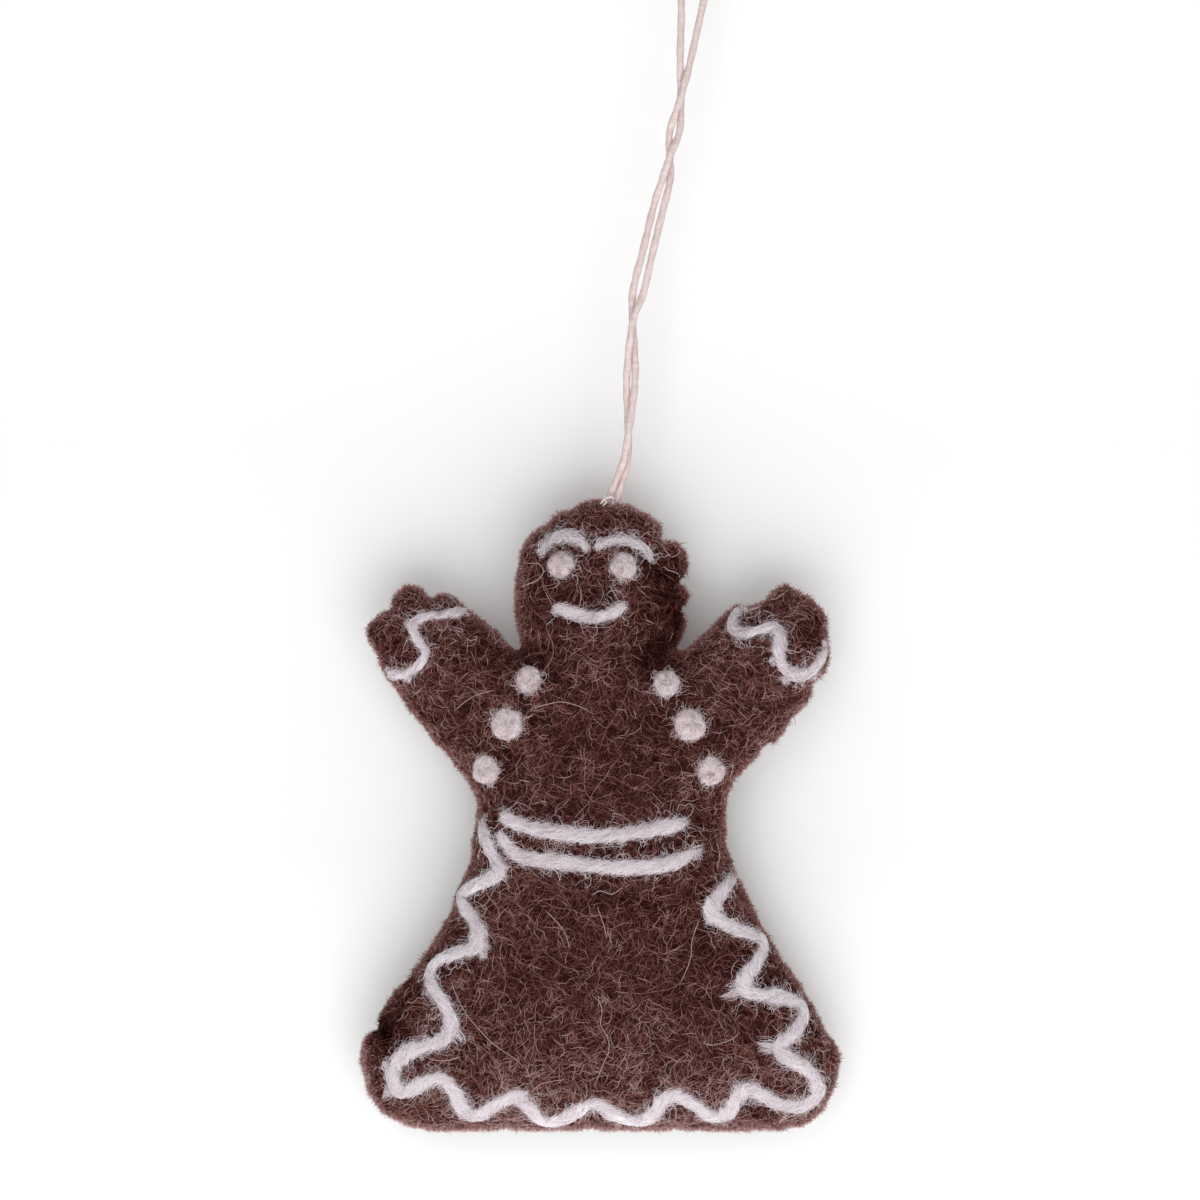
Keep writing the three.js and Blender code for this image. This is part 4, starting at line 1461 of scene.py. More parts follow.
@dataclass(frozen=True)
class WoolLine:
    """A line of white roving needled onto the front, through places of the picture. Sizes are in mm."""

    node: str
    area: Area
    shares: tuple
    width: float
    rise: float = 0.6
    end_length: float = 2.6
    end_width: float = 0.5
    core_share: float = 0.8
    fibres_per_mm: float = 30.0
    halo_per_mm: float = 10.0
    slant: float = -0.5
    tangle: float = 0.6
    tufts: tuple = ()
    spikes: tuple = ()
    # Base tone of the line's fibres. The belts and the skirt trim set it lighter, partly as painted light that
    # grows towards the hem.
    pale: float = 0.66
    seed: int = 1
    tuft_width: float = 1.5
    uneven: Range = (0.84, 1.14)
    uneven_step: float = 2.2
    point_step: float = 0.45
    core_sink: float = 0.12
    grain_size: float = 0.8
    grain_height: float = 0.13
    fibre_length: Range = (1.0, 3.2)
    fibre_radius: Range = (0.036, 0.06)
    fibre_lift: Range = (-0.12, 0.24)
    fibre_base: float = 0.1
    slant_run: float = 3.6
    streak_width: float = 0.3
    streak_run: float = 4.0
    streak_height: float = 0.22
    streak_tone_and_shade: float = 0.85
    tone_scatter: float = 0.16
    soft_edge: float = 0.9
    soft_share: float = 0.6
    splay_run: float = 1.6
    halo_radius: Range = (0.024, 0.038)
    halo_lift: Range = (0.25, 0.7)
    halo_start: Range = (0.5, 1.0)
    halo_angle: Range = (0.4, 1.5)
    halo_shape: tuple[float, float] = (2.0, 0.95)
    halo_shortest: float = 0.9
    halo_levels: int = 9
    halo_curl: float = 6.5
    tuft_fibres: int = 36
    tuft_root: Range = (0.5, 2.2)
    tuft_spread: tuple[float, float, float] = (0.5, 0.4, 0.35)
    tuft_lift: Range = (0.3, 0.7)
    tuft_radius: Range = (0.03, 0.046)

    def widths(self, flat: np.ndarray, length: float, rng: np.random.Generator) -> np.ndarray:
        """Half widths along the line, thinner towards both ends, wider at its tufts and a little uneven.

        Args:
            flat: the line's pixels.
            length: the line's length.
            rng: the source of chance.

        Returns:
            The half widths, in metres.
        """
        at = np.linspace(0, length, len(flat))
        from_end = np.minimum(at, length - at) / (self.end_length * MM)
        full = self.end_width + (1 - self.end_width) * np.sqrt(np.clip(from_end, 0, 1))
        steps = max(4, int(length / (self.uneven_step * MM)))
        wobble = np.interp(at, np.linspace(0, length, steps), rng.uniform(*self.uneven, steps))
        for column, row, extra in self.tufts:
            gap = np.linalg.norm(flat - np.array([column, row]), axis=1) * PICTURE.pixel
            wobble *= 1 + extra * np.exp(-((gap / (self.tuft_width * MM)) ** 2))
        return self.width * MM / 2 * full * wobble

    def build(self, surface: Surface) -> None:
        """Lays the roving, its own fibres and the fine ones that spread over the felt.

        Args:
            surface: the felt.
        """
        rng = np.random.default_rng(self.seed)
        spots = np.array([self.area.spot(*share) for share in self.shares])
        count = max(10, int(length_of(resample(spots, 400)) * PICTURE.pixel / (self.point_step * MM)))
        flat = resample(spots, count)
        centre, ups = surface.seen_along(flat)
        ups = unit(ups)
        for _ in range(3):
            ups[1:-1] = unit(ups[:-2] + ups[1:-1] * 2 + ups[2:])
        length = length_of(centre)
        course = Course(centre, ups, self.widths(flat, length, rng), length)
        strands = Strands()
        strands.add(centre + ups * (self.core_sink * MM), ups, self.core_share, 0.55, sides=12,
                    high=2 * self.rise / self.width, taper=course.half)
        name = self.node + "_core"
        core = show(strands.mesh(name), name, WHITE_WOOL)
        self.roughen(core)
        self.own_fibres(course, rng)
        self.halo(course, rng, surface)
        settle(core, "white_wool", self.node)

    def roughen(self, core: bpy.types.Object) -> None:
        """Gives the roving's surface its uneven lie.

        Args:
            core: the roving.
        """
        for vert in core.data.vertices:
            grain = noise.fractal(vert.co / (self.grain_size * MM), 1.0, 2.0, 3)
            vert.co += vert.normal * grain * self.grain_height * MM

    def own_fibres(self, course: Course, rng: np.random.Generator) -> None:
        """Makes the roving's own fibres, which follow the line at a slant.

        Args:
            course: the line's way over the felt.
            rng: the source of chance.
        """
        length = course.length
        count = max(60, int(self.fibres_per_mm * length / MM))
        span = np.linspace(-1, 1, 6)[None]
        long = rng.uniform(*self.fibre_length, (count, 1)) * MM / length
        middle = rng.uniform(0, 1, (count, 1))
        where = middle + span / 2 * long
        over = rng.uniform(-1, 1, (count, 1))
        run = middle * length / MM
        slanted = (over - 2 * self.slant * run / self.slant_run) / self.streak_width
        places = np.hstack([slanted, run / self.streak_run, np.full((count, 1), self.seed)])
        streak = noise_at(places, 1.0)[:, None]
        drift = rng.normal(self.slant, self.tangle, (count, 1)) * span * long * length / (self.slant_run * MM)
        bends, phase = rng.normal(0, 0.3, (count, 1)), rng.uniform(0, 6, (count, 1))
        curl = self.tangle * bends * np.sin(2.4 * span + phase)
        side = over * 0.95 + drift + curl
        spill = np.maximum(np.abs(side) - self.soft_edge, 0.0)
        side = np.sign(side) * (np.minimum(np.abs(side), self.soft_edge) + self.soft_share * spill)
        beyond = np.clip(where - 1, 0, 1) + np.clip(where, -1, 0)
        width = value_at(course.half, where)
        rise = self.rise * MM * np.sqrt(np.clip(1 - side**2, 0, 1)) * width / (self.width * MM / 2)
        loft = rng.uniform(*self.fibre_lift, (count, 1)) + self.streak_height * streak
        lift = rise + (self.fibre_base + loft) * MM
        up = value_at(course.ups, where)
        splay = 1 + np.abs(beyond) * length / (self.splay_run * MM)
        paths = (value_at(course.centre, where)
                 + value_at(course.forward, where) * (beyond * length * self.soft_share)[..., None]
                 + value_at(course.aside, where) * (side * width * splay)[..., None] + up * lift[..., None])
        # Raised streaks are lighter and sunken ones darker. This is partly the roving's own streaks and partly
        # painted shade between them.
        tone = self.pale + self.streak_tone_and_shade * streak[:, 0] + rng.normal(0, self.tone_scatter, count)
        strands = Strands()
        strands.add(paths, up, rng.uniform(*self.fibre_radius, count) * MM, np.clip(tone, 0.0, 1.0))
        strands.piece(self.node + "_fibres", WHITE_FIBRES, "white_wool")

    def halo(self, course: Course, rng: np.random.Generator, surface: Surface) -> None:
        """Makes the fine fibres that spread over the felt beside the line, and its tufts.

        Args:
            course: the line's way over the felt.
            rng: the source of chance.
            surface: the felt.
        """
        count = max(30, int(self.halo_per_mm * course.length / MM))
        spot = np.clip(rng.uniform(-0.02, 1.02, count), 0, 1)
        sign = rng.choice([-1.0, 1.0], count)
        aside = value_at(course.aside, spot)
        out = sign * value_at(course.half, spot) * rng.uniform(*self.halo_start, count)
        starts, normals = surface.nearest(value_at(course.centre, spot) + aside * out[:, None])
        angle = rng.uniform(*self.halo_angle, count)
        run = rng.choice([-1.0, 1.0], count) * (0.4 + np.abs(np.sin(angle)))
        heading = aside * (sign * np.cos(angle))[:, None] + value_at(course.forward, spot) * run[:, None]
        far = (rng.gamma(*self.halo_shape, count) + self.halo_shortest) * MM
        laid, above = surface.crawl(starts, normals, heading, far, self.halo_levels, self.halo_curl, rng)
        fall = np.interp(np.arange(self.halo_levels), [5, 8], [1.0, 0.6])
        lift = rng.uniform(*self.halo_lift, (count, 1)) * MM * fall[None]
        radius = rng.uniform(*self.halo_radius, count) * MM
        strands = Strands()
        strands.add(laid + above * lift[..., None], above, radius, rng.beta(3, 2, count))
        for column, row, degrees, reach in self.spikes:
            self.spike(strands, np.array([column, row]), math.radians(degrees), reach, rng, surface)
        strands.piece(self.node + "_halo", WHITE_FIBRES, "white_wool")

    def spike(self, strands: Strands, root: np.ndarray, turn: float, reach: float,
              rng: np.random.Generator, surface: Surface) -> None:
        """Adds a small tuft of fibres that leaves the line one way.

        Args:
            strands: where the fibres go.
            root: the tuft's root, as a column and a row of the picture.
            turn: its direction in the picture, anticlockwise from the right, in radians.
            reach: how far it goes, in mm.
            rng: the source of chance.
            surface: the felt.
        """
        count = (self.tuft_fibres, 1)
        pixels = MM / PICTURE.pixel
        ahead = np.array([math.cos(turn), -math.sin(turn)]) * pixels
        aside = np.array([math.sin(turn), math.cos(turn)]) * pixels
        at_root, at_end, between = self.tuft_spread
        first = root - ahead * rng.uniform(*self.tuft_root, count) + aside * rng.normal(0, at_root, count)
        last = root + ahead * rng.uniform(-0.1, 1.0, count) * reach + aside * rng.normal(0, at_end, count)
        bow = aside * rng.normal(0, between, count)
        paths, above = [], []
        for share in np.linspace(0, 1, 6):
            flat = first * (1 - share) + last * share + bow * math.sin(share * math.pi)
            place, normal = surface.seen_along(flat)
            lift = rng.uniform(*self.tuft_lift, count) * (1 - 0.35 * share) * MM
            paths.append(place + normal * lift)
            above.append(normal)
        radius = rng.uniform(*self.tuft_radius, self.tuft_fibres) * MM
        strands.add(np.stack(paths, 1), np.stack(above, 1), radius, rng.beta(2.2, 1.8, self.tuft_fibres))


@dataclass(frozen=True)
class WoolDot:
    """A round dot of white wool, with its fibres wound round it. Sizes are in mm."""

    node: str
    area: Area
    share: tuple[float, float]
    wide: float
    high: float
    rise: float = 0.95
    fibres: int = 420
    halo: int = 190
    dent: float = 0.0
    seed: int = 1
    face_pull: float = 1.2
    dent_place: tuple[float, float] = (0.05, -0.05)
    dent_spread: tuple[float, float] = (0.22, 0.28)
    core_lift: float = 0.05
    fibre_reach: Range = (0.15, 0.42)
    fibre_bow: float = 0.16
    fibre_lift: Range = (-0.02, 0.3)
    soft_share: float = 0.35
    patch_scale: float = 2.6
    patch_height: float = 0.2
    patch_tone_and_shade: float = 0.7
    middle_tone: float = 0.6
    tone_scatter: float = 0.2
    halo_shape: tuple[float, float] = (2.0, 0.4)
    halo_shortest: float = 0.35
    halo_lift: Range = (0.15, 0.6)
    halo_levels: int = 6
    halo_curl: float = 3.6
    fibre_radius: Range = (0.038, 0.062)
    halo_radius: Range = (0.028, 0.044)

    def build(self, surface: Surface) -> None:
        """Makes the dot, its own fibres and its halo.

        Args:
            surface: the felt.
        """
        rng = np.random.default_rng(self.seed)
        centre, normal = surface.seen_at(*self.area.spot(*self.share))
        normal = (normal + Vector((0, -self.face_pull, 0))).normalized()
        right = Vector(Axis.UP.value).cross(normal).normalized()
        up = normal.cross(right)
        right, up, normal = np.array(right), np.array(up), np.array(normal)
        if right[0] < 0:
            right, up = -right, -up
        bm = bmesh.new()
        bmesh.ops.create_uvsphere(bm, u_segments=28, v_segments=16, radius=1.0)
        for vert in bm.verts:
            x, y, z = vert.co
            rim = self.rim(x, y)
            lump = 1 + 0.10 * noise.fractal(Vector((x, y, z + self.seed)) * 2.2, 1.0, 2.0, 3)
            tall = self.rise * MM * (z * lump if z > 0 else z * 0.3)
            if z > 0:
                tall -= self.dented(x, y)
            across, along = x * rim * self.wide * MM / 2, y * rim * self.high * MM / 2
            vert.co = centre + Vector(right * across + up * along + normal * (tall + self.core_lift * MM))
        bmesh.ops.recalc_face_normals(bm, faces=list(bm.faces))
        name = self.node + "_core"
        mesh = plain_mesh(bm, name)
        mesh.shade_smooth()
        core = show(mesh, name, DOT_WOOL)
        self.own_fibres(np.array(centre), right, up, normal, rng, surface)
        settle(core, "white_wool", self.node)

    def dented(self, x: float | np.ndarray, y: float | np.ndarray) -> float | np.ndarray:
        """How deep the dot's dent is at a place, or at many.

        Args:
            x: a place to the right of the middle, as a share of the half width.
            y: and above it.

        Returns:
            The depth, in metres.
        """
        across = (x - self.dent_place[0]) / self.dent_spread[0]
        along = (y - self.dent_place[1]) / self.dent_spread[1]
        return self.dent * MM * np.exp(-(across**2 + along**2))

    def rim(self, x: float, y: float) -> float:
        """How far out the dot's uneven outline lies in one direction, as a share of its half width.

        Args:
            x: a place to the right of the middle.
            y: and above it.

        Returns:
            The share.
        """
        way = Vector((x, y, 0.0)).normalized()
        seed = Vector((0.0, 0.0, self.seed * 1.37))
        return 0.95 + 0.13 * noise.noise(way * 1.3 + seed) + 0.08 * noise.noise(way * 4.5 + seed)

    def own_fibres(self, centre: np.ndarray, right: np.ndarray, up: np.ndarray, normal: np.ndarray,
                   rng: np.random.Generator, surface: Surface) -> None:
        """Winds the dot's fibres over it and spreads its halo.

        Args:
            centre: the dot's middle on the felt.
            right: its direction to the right.
            up: its direction up.
            normal: its direction out.
            rng: the source of chance.
            surface: the felt.
        """
        strands = Strands()
        wound = (self.fibres, 1)
        span = np.linspace(-1, 1, 5)[None]
        out = np.sqrt(rng.uniform(0, 1.02, wound))
        turn = rng.uniform(0, 2 * math.pi, wound)
        reach = rng.uniform(*self.fibre_reach, wound)
        swirl = rng.uniform(0, 2 * math.pi, wound)
        bow = rng.normal(0, self.fibre_bow, wound) * (span**2 - 0.4)
        x = out * np.cos(turn) + span * reach * np.cos(turn + swirl) - bow * np.sin(turn + swirl)
        y = out * np.sin(turn) + span * reach * np.sin(turn + swirl) + bow * np.cos(turn + swirl)
        far = np.hypot(x, y)
        pull = np.where(far > 1.0, (1.0 + (far - 1.0) * self.soft_share) / np.maximum(far, 1e-6), 1.0)
        x, y, far = x * pull, y * pull, far * pull
        rim = np.array([[self.rim(math.cos(a), math.sin(a))] for a in turn[:, 0]])
        places = np.hstack([out * np.cos(turn), out * np.sin(turn), np.full(wound, self.seed)])
        patch = noise_at(places * self.patch_scale, 1.0)[:, None]
        tall = self.rise * MM * np.sqrt(np.clip(1 - far**2, 0, 1)) - self.dented(x, y)
        tall = tall + (rng.uniform(*self.fibre_lift, wound) + self.patch_height * patch) * MM
        wide, high = self.wide * MM / 2, self.high * MM / 2
        paths = (centre + (x * rim * wide)[..., None] * right + (y * rim * high)[..., None] * up
                 + tall[..., None] * normal)
        # Raised patches are lighter and low ones darker. This is partly the wool's own patches and partly
        # painted shade in the dot's hollows.
        tone = self.middle_tone + self.patch_tone_and_shade * patch[:, 0]
        tone = tone + rng.normal(0, self.tone_scatter, self.fibres)
        strands.add(paths, normal, rng.uniform(*self.fibre_radius, self.fibres) * MM, np.clip(tone, 0.0, 1.0))
        spin = rng.uniform(0, 2 * math.pi, (self.halo, 1))
        edge = np.cos(spin) * wide * right + np.sin(spin) * high * up
        starts, normals = surface.nearest(centre + edge * rng.uniform(0.8, 1.02, (self.halo, 1)))
        heading = unit(edge) + rng.normal(0, 0.8, (self.halo, 3))
        far = (rng.gamma(*self.halo_shape, self.halo) + self.halo_shortest) * MM
        laid, above = surface.crawl(starts, normals, heading, far, self.halo_levels, self.halo_curl, rng)
        lift = rng.uniform(*self.halo_lift, (self.halo, 1)) * MM
        strands.add(laid + above * lift[..., None], above, rng.uniform(*self.halo_radius, self.halo) * MM,
                    rng.beta(2, 2, self.halo))
        strands.piece(self.node + "_fibres", DOT_FIBRES, "white_wool")


# The belts and the skirt trim take a lighter pale tone, partly as painted light from below.
LINES = (
    WoolLine("left_eyebrow", Area.HEAD, (
        (-0.655, 0.655), (-0.576, 0.722), (-0.407, 0.755), (-0.237, 0.728), (-0.158, 0.67)),
        2.2, rise=0.45, end_length=3.6, end_width=0.35, core_share=0.5, fibres_per_mm=24.0, tangle=1.0,
        spikes=((541, 553, 225, 0.9), (586, 550, 300, 0.9)), seed=21),
    WoolLine("right_eyebrow", Area.HEAD, (
        (-0.056, 0.681), (0.079, 0.719), (0.226, 0.732), (0.384, 0.709), (0.497, 0.658), (0.565, 0.604)),
        2.2, rise=0.45, end_length=4.0, end_width=0.35, core_share=0.5, fibres_per_mm=24.0, tangle=1.0,
        spikes=((598, 546, 215, 1.0), (647, 557, 300, 0.9)), seed=22),
    WoolLine("smile", Area.HEAD, (
        (-0.52, 0.308), (-0.328, 0.264), (-0.102, 0.238), (0.11, 0.26), (0.272, 0.312)),
        2.3, rise=0.5, end_length=4.0, end_width=0.5, halo_per_mm=6.0, tangle=0.8,
        spikes=((621, 610, 330, 1.2), (555, 609, 150, 0.7)), seed=23),
    WoolLine("left_cuff_trim", Area.ARMS, (
        (-0.571, 0.881), (-0.68, 0.863), (-0.762, 0.854), (-0.814, 0.815), (-0.797, 0.753), (-0.758, 0.705),
        (-0.779, 0.657), (-0.84, 0.609), (-0.91, 0.607)),
        1.42, rise=0.42, end_length=1.5, end_width=0.6, halo_per_mm=5.0, tangle=0.9,
        tufts=((455, 609, 0.4), (408, 625, 0.25), (392, 676, 0.3)),
        spikes=((467, 609, 10, 0.8), (408, 625, 170, 1.0), (387, 669, 125, 1.0), (386, 674, 170, 0.7),
                (409, 680, 260, 0.8), (394, 678, 235, 0.8)), seed=24),
    WoolLine("right_cuff_trim", Area.ARMS, (
        (0.615, 0.894), (0.575, 0.85), (0.573, 0.8), (0.623, 0.78), (0.688, 0.793), (0.745, 0.808),
        (0.773, 0.77), (0.771, 0.701), (0.786, 0.638), (0.844, 0.602), (0.905, 0.618), (0.945, 0.666),
        (0.975, 0.74)),
        1.75, rise=0.5, end_length=2.6, end_width=0.6, halo_per_mm=9.0, tangle=0.9,
        tufts=((735, 634, 0.3), (772, 634, 0.35), (782, 650, 0.3), (793, 672, 0.3)),
        spikes=((827, 641, 85, 1.2), (816, 674, 20, 0.8), (770, 662, 200, 0.4), (782, 682, 225, 0.4),
                (730, 628, 160, 0.7), (748, 606, 35, 2.6), (742, 607, 80, 0.8)), seed=25),
    WoolLine("belt_upper_line", Area.WAIST, (
        (-0.81, 0.98), (-0.539, 0.946), (-0.188, 0.927), (0.016, 0.924), (0.376, 0.94), (0.68, 0.967)),
        2.6, rise=0.55, pale=0.74, tufts=((490, 848, -0.2), (700, 846, -0.15)),
        spikes=((504, 817, 165, 1.0), (505, 814, 140, 0.8), (683, 822, 20, 1.5),
                (681, 826, 350, 1.0)), seed=26),
    WoolLine("belt_lower_line", Area.WAIST, (
        (-0.83, 0.929), (-0.735, 0.88), (-0.613, 0.855), (-0.359, 0.843), (0.016, 0.827), (0.376, 0.827),
        (0.588, 0.843), (0.76, 0.873)),
        2.6, rise=0.55, end_length=4.0, end_width=0.35, pale=0.74,
        spikes=((501, 834, 110, 0.9), (694, 852, 38, 2.6), (697, 853, 25, 2.0),
                (525, 861, 235, 0.9)), seed=27),
    WoolLine("skirt_trim", Area.SKIRT, (
        (-0.49, 0.965), (-0.475, 0.905), (-0.435, 0.845), (-0.425, 0.807), (-0.492, 0.777), (-0.573, 0.743),
        (-0.571, 0.708), (-0.529, 0.661), (-0.508, 0.617), (-0.521, 0.575), (-0.588, 0.558), (-0.671, 0.533),
        (-0.712, 0.492), (-0.696, 0.442), (-0.646, 0.392), (-0.625, 0.341), (-0.648, 0.293), (-0.721, 0.269),
        (-0.804, 0.247), (-0.854, 0.21), (-0.863, 0.16), (-0.83, 0.124), (-0.763, 0.144), (-0.704, 0.163),
        (-0.646, 0.157), (-0.6, 0.11), (-0.562, 0.06), (-0.504, 0.053), (-0.446, 0.081), (-0.354, 0.11),
        (-0.304, 0.078), (-0.25, 0.038), (-0.188, 0.034), (-0.121, 0.055), (-0.029, 0.091), (0.046, 0.058),
        (0.142, 0.034), (0.212, 0.052), (0.254, 0.094), (0.306, 0.114), (0.379, 0.088), (0.454, 0.05),
        (0.521, 0.054), (0.562, 0.1), (0.608, 0.136), (0.671, 0.113), (0.746, 0.085), (0.829, 0.078),
        (0.893, 0.11), (0.893, 0.16), (0.838, 0.204), (0.765, 0.235), (0.742, 0.27), (0.8, 0.304),
        (0.836, 0.354), (0.828, 0.393), (0.767, 0.415), (0.683, 0.422), (0.604, 0.436), (0.596, 0.472),
        (0.638, 0.52), (0.669, 0.567), (0.655, 0.603), (0.588, 0.623), (0.496, 0.658), (0.458, 0.696),
        (0.504, 0.752), (0.55, 0.796)),
        2.35, rise=0.52, end_width=0.6, tangle=0.8, pale=0.84,
        tufts=((497, 874, 0.35), (474, 935, 0.4), (483, 953, 0.7), (455, 1032, 0.45), (405, 1060, 0.4),
               (452, 1100, 0.35), (708, 912, 0.3), (740, 985, 0.4), (800, 995, 0.2), (765, 1045, -0.15),
               (775, 1000, 0.2), (815, 1085, 0.2)),
        spikes=((506, 868, 15, 1.2), (504, 876, -30, 1.2), (488, 947, 0, 0.9), (484, 958, -60, 0.8),
                (733, 873, 70, 1.2), (458, 1036, -60, 1.8), (384, 1063, 140, 0.5), (388, 1094, 230, 1.5),
                (524, 1093, 40, 1.6), (735, 988, 180, 2.2), (732, 995, 195, 2.4), (738, 982, 170, 1.4),
                (768, 1045, 165, 2.6), (766, 1050, 185, 2.0), (706, 908, 180, 1.1), (708, 922, 200, 1.3),
                (736, 1088, 135, 1.4), (802, 992, 60, 1.2), (765, 935, 40, 1.2)), seed=28),
)

DOTS = (
    WoolDot("left_eye", Area.HEAD, (-0.441, 0.571), 4.5, 4.5, seed=31),
    WoolDot("right_eye", Area.HEAD, (0.249, 0.559), 4.5, 4.5, seed=32),
    WoolDot("button_left_upper", Area.BODICE, (-0.588, 0.832), 4.4, 4.8, seed=33),
    WoolDot("button_left_middle", Area.BODICE, (-0.768, 0.558), 5.4, 5.4, seed=34),
    WoolDot("button_left_lower", Area.BODICE, (-0.94, 0.266), 4.9, 5.1, seed=35),
    WoolDot("button_right_upper", Area.BODICE, (0.539, 0.813), 4.5, 4.5, seed=36),
    WoolDot("button_right_middle", Area.BODICE, (0.727, 0.552), 5.5, 5.4, seed=37),
    WoolDot("button_right_lower", Area.BODICE, (0.891, 0.26), 5.1, 5.1, dent=0.75, seed=38),
)


# Cord


@dataclass(frozen=True)
class HangingCord:
    """The doubled cord: one twisted two-strand cord, up from the head, round the eye and down again."""

    radius: float = 0.6 * MM
    lobe: float = 0.14
    twist_length: float = 4.2 * MM
    ring_step: float = 0.3 * MM
    fuzz: int = 1500
    seed: int = 41
    sides: int = 16
    standing: Range = (0.25, 1.1)
    fuzz_radius: Range = (0.012, 0.022)
    unevenness: float = 0.06
    foot_places: tuple = (
        ((600, 505), (603, 501), (607, 498), (611, 499)), ((602, 507), (606, 503), (609, 500)),
        ((605, 500), (609, 497), (613, 498), (615, 501)), ((603, 498), (606, 502), (605, 506)),
    )
    foot_levels: int = 8
    foot_radius: float = 0.2 * MM
    route: tuple = (
        (-0.0145, 0, -0.0965), (-0.0142, 0, -0.0895), (-0.0119, -0.0006, -0.0833),
        (-0.0107, -0.0008, -0.0763),
        (-0.0099, 0, -0.069), (-0.0103, 0.0008, -0.06), (-0.0103, 0, -0.055), (-0.0086, 0, -0.048),
        (-0.0068, 0, -0.0406), (-0.0054, -0.0005, -0.0363), (-0.0041, -0.0008, -0.0323),
        (-0.0025, 0, -0.0281),
        (-0.0023, 0.0008, -0.0226), (-0.0024, 0, -0.016), (-0.0022, 0, -0.0071), (-0.0026, 0, -0.0023),
        (-0.0018, 0, -0.0001), (0, 0, 0.0006), (0.0018, 0, -0.0001), (0.0026, 0, -0.0023),
        (0.0014, 0, -0.0071),
        (-0.0006, 0, -0.016), (-0.0023, -0.0008, -0.0226), (-0.0041, 0, -0.0281), (-0.0041, 0.0008, -0.0323),
        (-0.0041, 0.0005, -0.0363), (-0.0051, 0, -0.0406), (-0.0069, 0, -0.048), (-0.0085, 0, -0.055),
        (-0.0103, -0.0008, -0.06), (-0.0113, 0, -0.069), (-0.0111, 0.0008, -0.0763),
        (-0.0112, 0.0006, -0.0833),
        (-0.0128, 0, -0.0895), (-0.013, 0, -0.0965),
    )

    def build(self) -> None:
        """Makes the cord, its loose fibres and the small stitch at its foot."""
        length = length_of(resample(self.route, 900))
        line = resample(self.route, int(length / self.ring_step))
        along = unit(np.gradient(line, axis=0))
        ups = [np.array([0.0, -1.0, 0.0])]
        for direction in along[1:]:
            ups.append(unit(ups[-1] - np.dot(ups[-1], direction) * direction))
        ups = np.array(ups)
        strands = Strands()
        strands.add(line, ups, self.radius, 0.5, sides=self.sides)
        mesh = strands.mesh("hanging_cord_twisted")
        self.twist(mesh, line, ups, along)
        cord = show(mesh, "hanging_cord_twisted", COTTON)
        settle(cord, "cotton_cord", "hanging_cord")
        log.info("cord %.1f mm long", length / MM)
        self.loose_fibres(line, ups, along)
        self.foot_stitch()

    def twist(self, mesh: bpy.types.Mesh, line: np.ndarray, ups: np.ndarray, along: np.ndarray) -> None:
        """Presses the round cord to two strands that wind round each other.

        Args:
            mesh: the cord's mesh.
            line: its centreline.
            ups: a direction square to it at each point.
            along: its direction at each point.
        """
        at = template(self.sides, len(line) - 2).level
        places = coordinates(mesh)
        aside = np.cross(along, ups)
        offset = places - line[at]
        turn = np.arctan2((offset * ups[at]).sum(1), (offset * aside[at]).sum(1))
        wind = at * self.ring_step / self.twist_length * math.pi
        size = 1 - self.lobe + self.lobe * np.abs(np.cos(turn - wind)) * 2 ** 0.5
        wobble = noise_at(line, 2.5 * MM)[at] * self.unevenness
        places = line[at] + offset * (size + wobble)[:, None]
        mesh.vertices.foreach_set("co", places.astype(np.float32).ravel())
        mesh.update()

    def loose_fibres(self, line: np.ndarray, ups: np.ndarray, along: np.ndarray) -> None:
        """Fine cotton fibres that stand off the cord.

        Args:
            line: the cord's centreline.
            ups: a direction square to it at each point.
            along: its direction at each point.
        """
        rng = np.random.default_rng(self.seed)
        at = rng.integers(int(len(line) * 0.04), int(len(line) * 0.96), self.fuzz)
        turn = rng.uniform(0, 2 * math.pi, (self.fuzz, 1))
        out = ups[at] * np.cos(turn) + np.cross(along[at], ups[at]) * np.sin(turn)
        run = along[at] * rng.choice([-1.0, 1.0], (self.fuzz, 1))
        reach = rng.uniform(*self.standing, (self.fuzz, 1)) * MM
        rise = rng.uniform(0.02, 0.45, (self.fuzz, 1, 1))
        steps = np.linspace(0, 1, 5)[None, :, None]
        root = (line[at] + out * (self.radius * 0.92))[:, None]
        paths = (root + run[:, None] * reach[:, None] * 1.5 * steps
                 + out[:, None] * reach[:, None] * rise * steps**1.5)
        strands = Strands()
        radius = rng.uniform(*self.fuzz_radius, self.fuzz) * MM
        strands.add(paths, out[:, None], radius, rng.random(self.fuzz))
        strands.piece("cord_fibres", COTTON_FIBRES, "cotton_cord")

    def foot_stitch(self) -> None:
        """Makes the small pale stitch that holds the cord's foot to the felt."""
        rng = np.random.default_rng(self.seed + 1)
        strands = Strands()
        for points in self.foot_places:
            path = np.array([PICTURE.on_plane(*pixel) for pixel in resample(points, self.foot_levels)])
            path[:, 1] -= (0.9 + 1.3 * np.linspace(0, 1, self.foot_levels)[::-1]) * MM
            strands.add(path, -np.array(Axis.DEEP.value), self.foot_radius, rng.uniform(0.7, 1.0), sides=5)
        strands.piece("cord_foot_stitch", COTTON_FIBRES, "cotton_cord")


# Stage


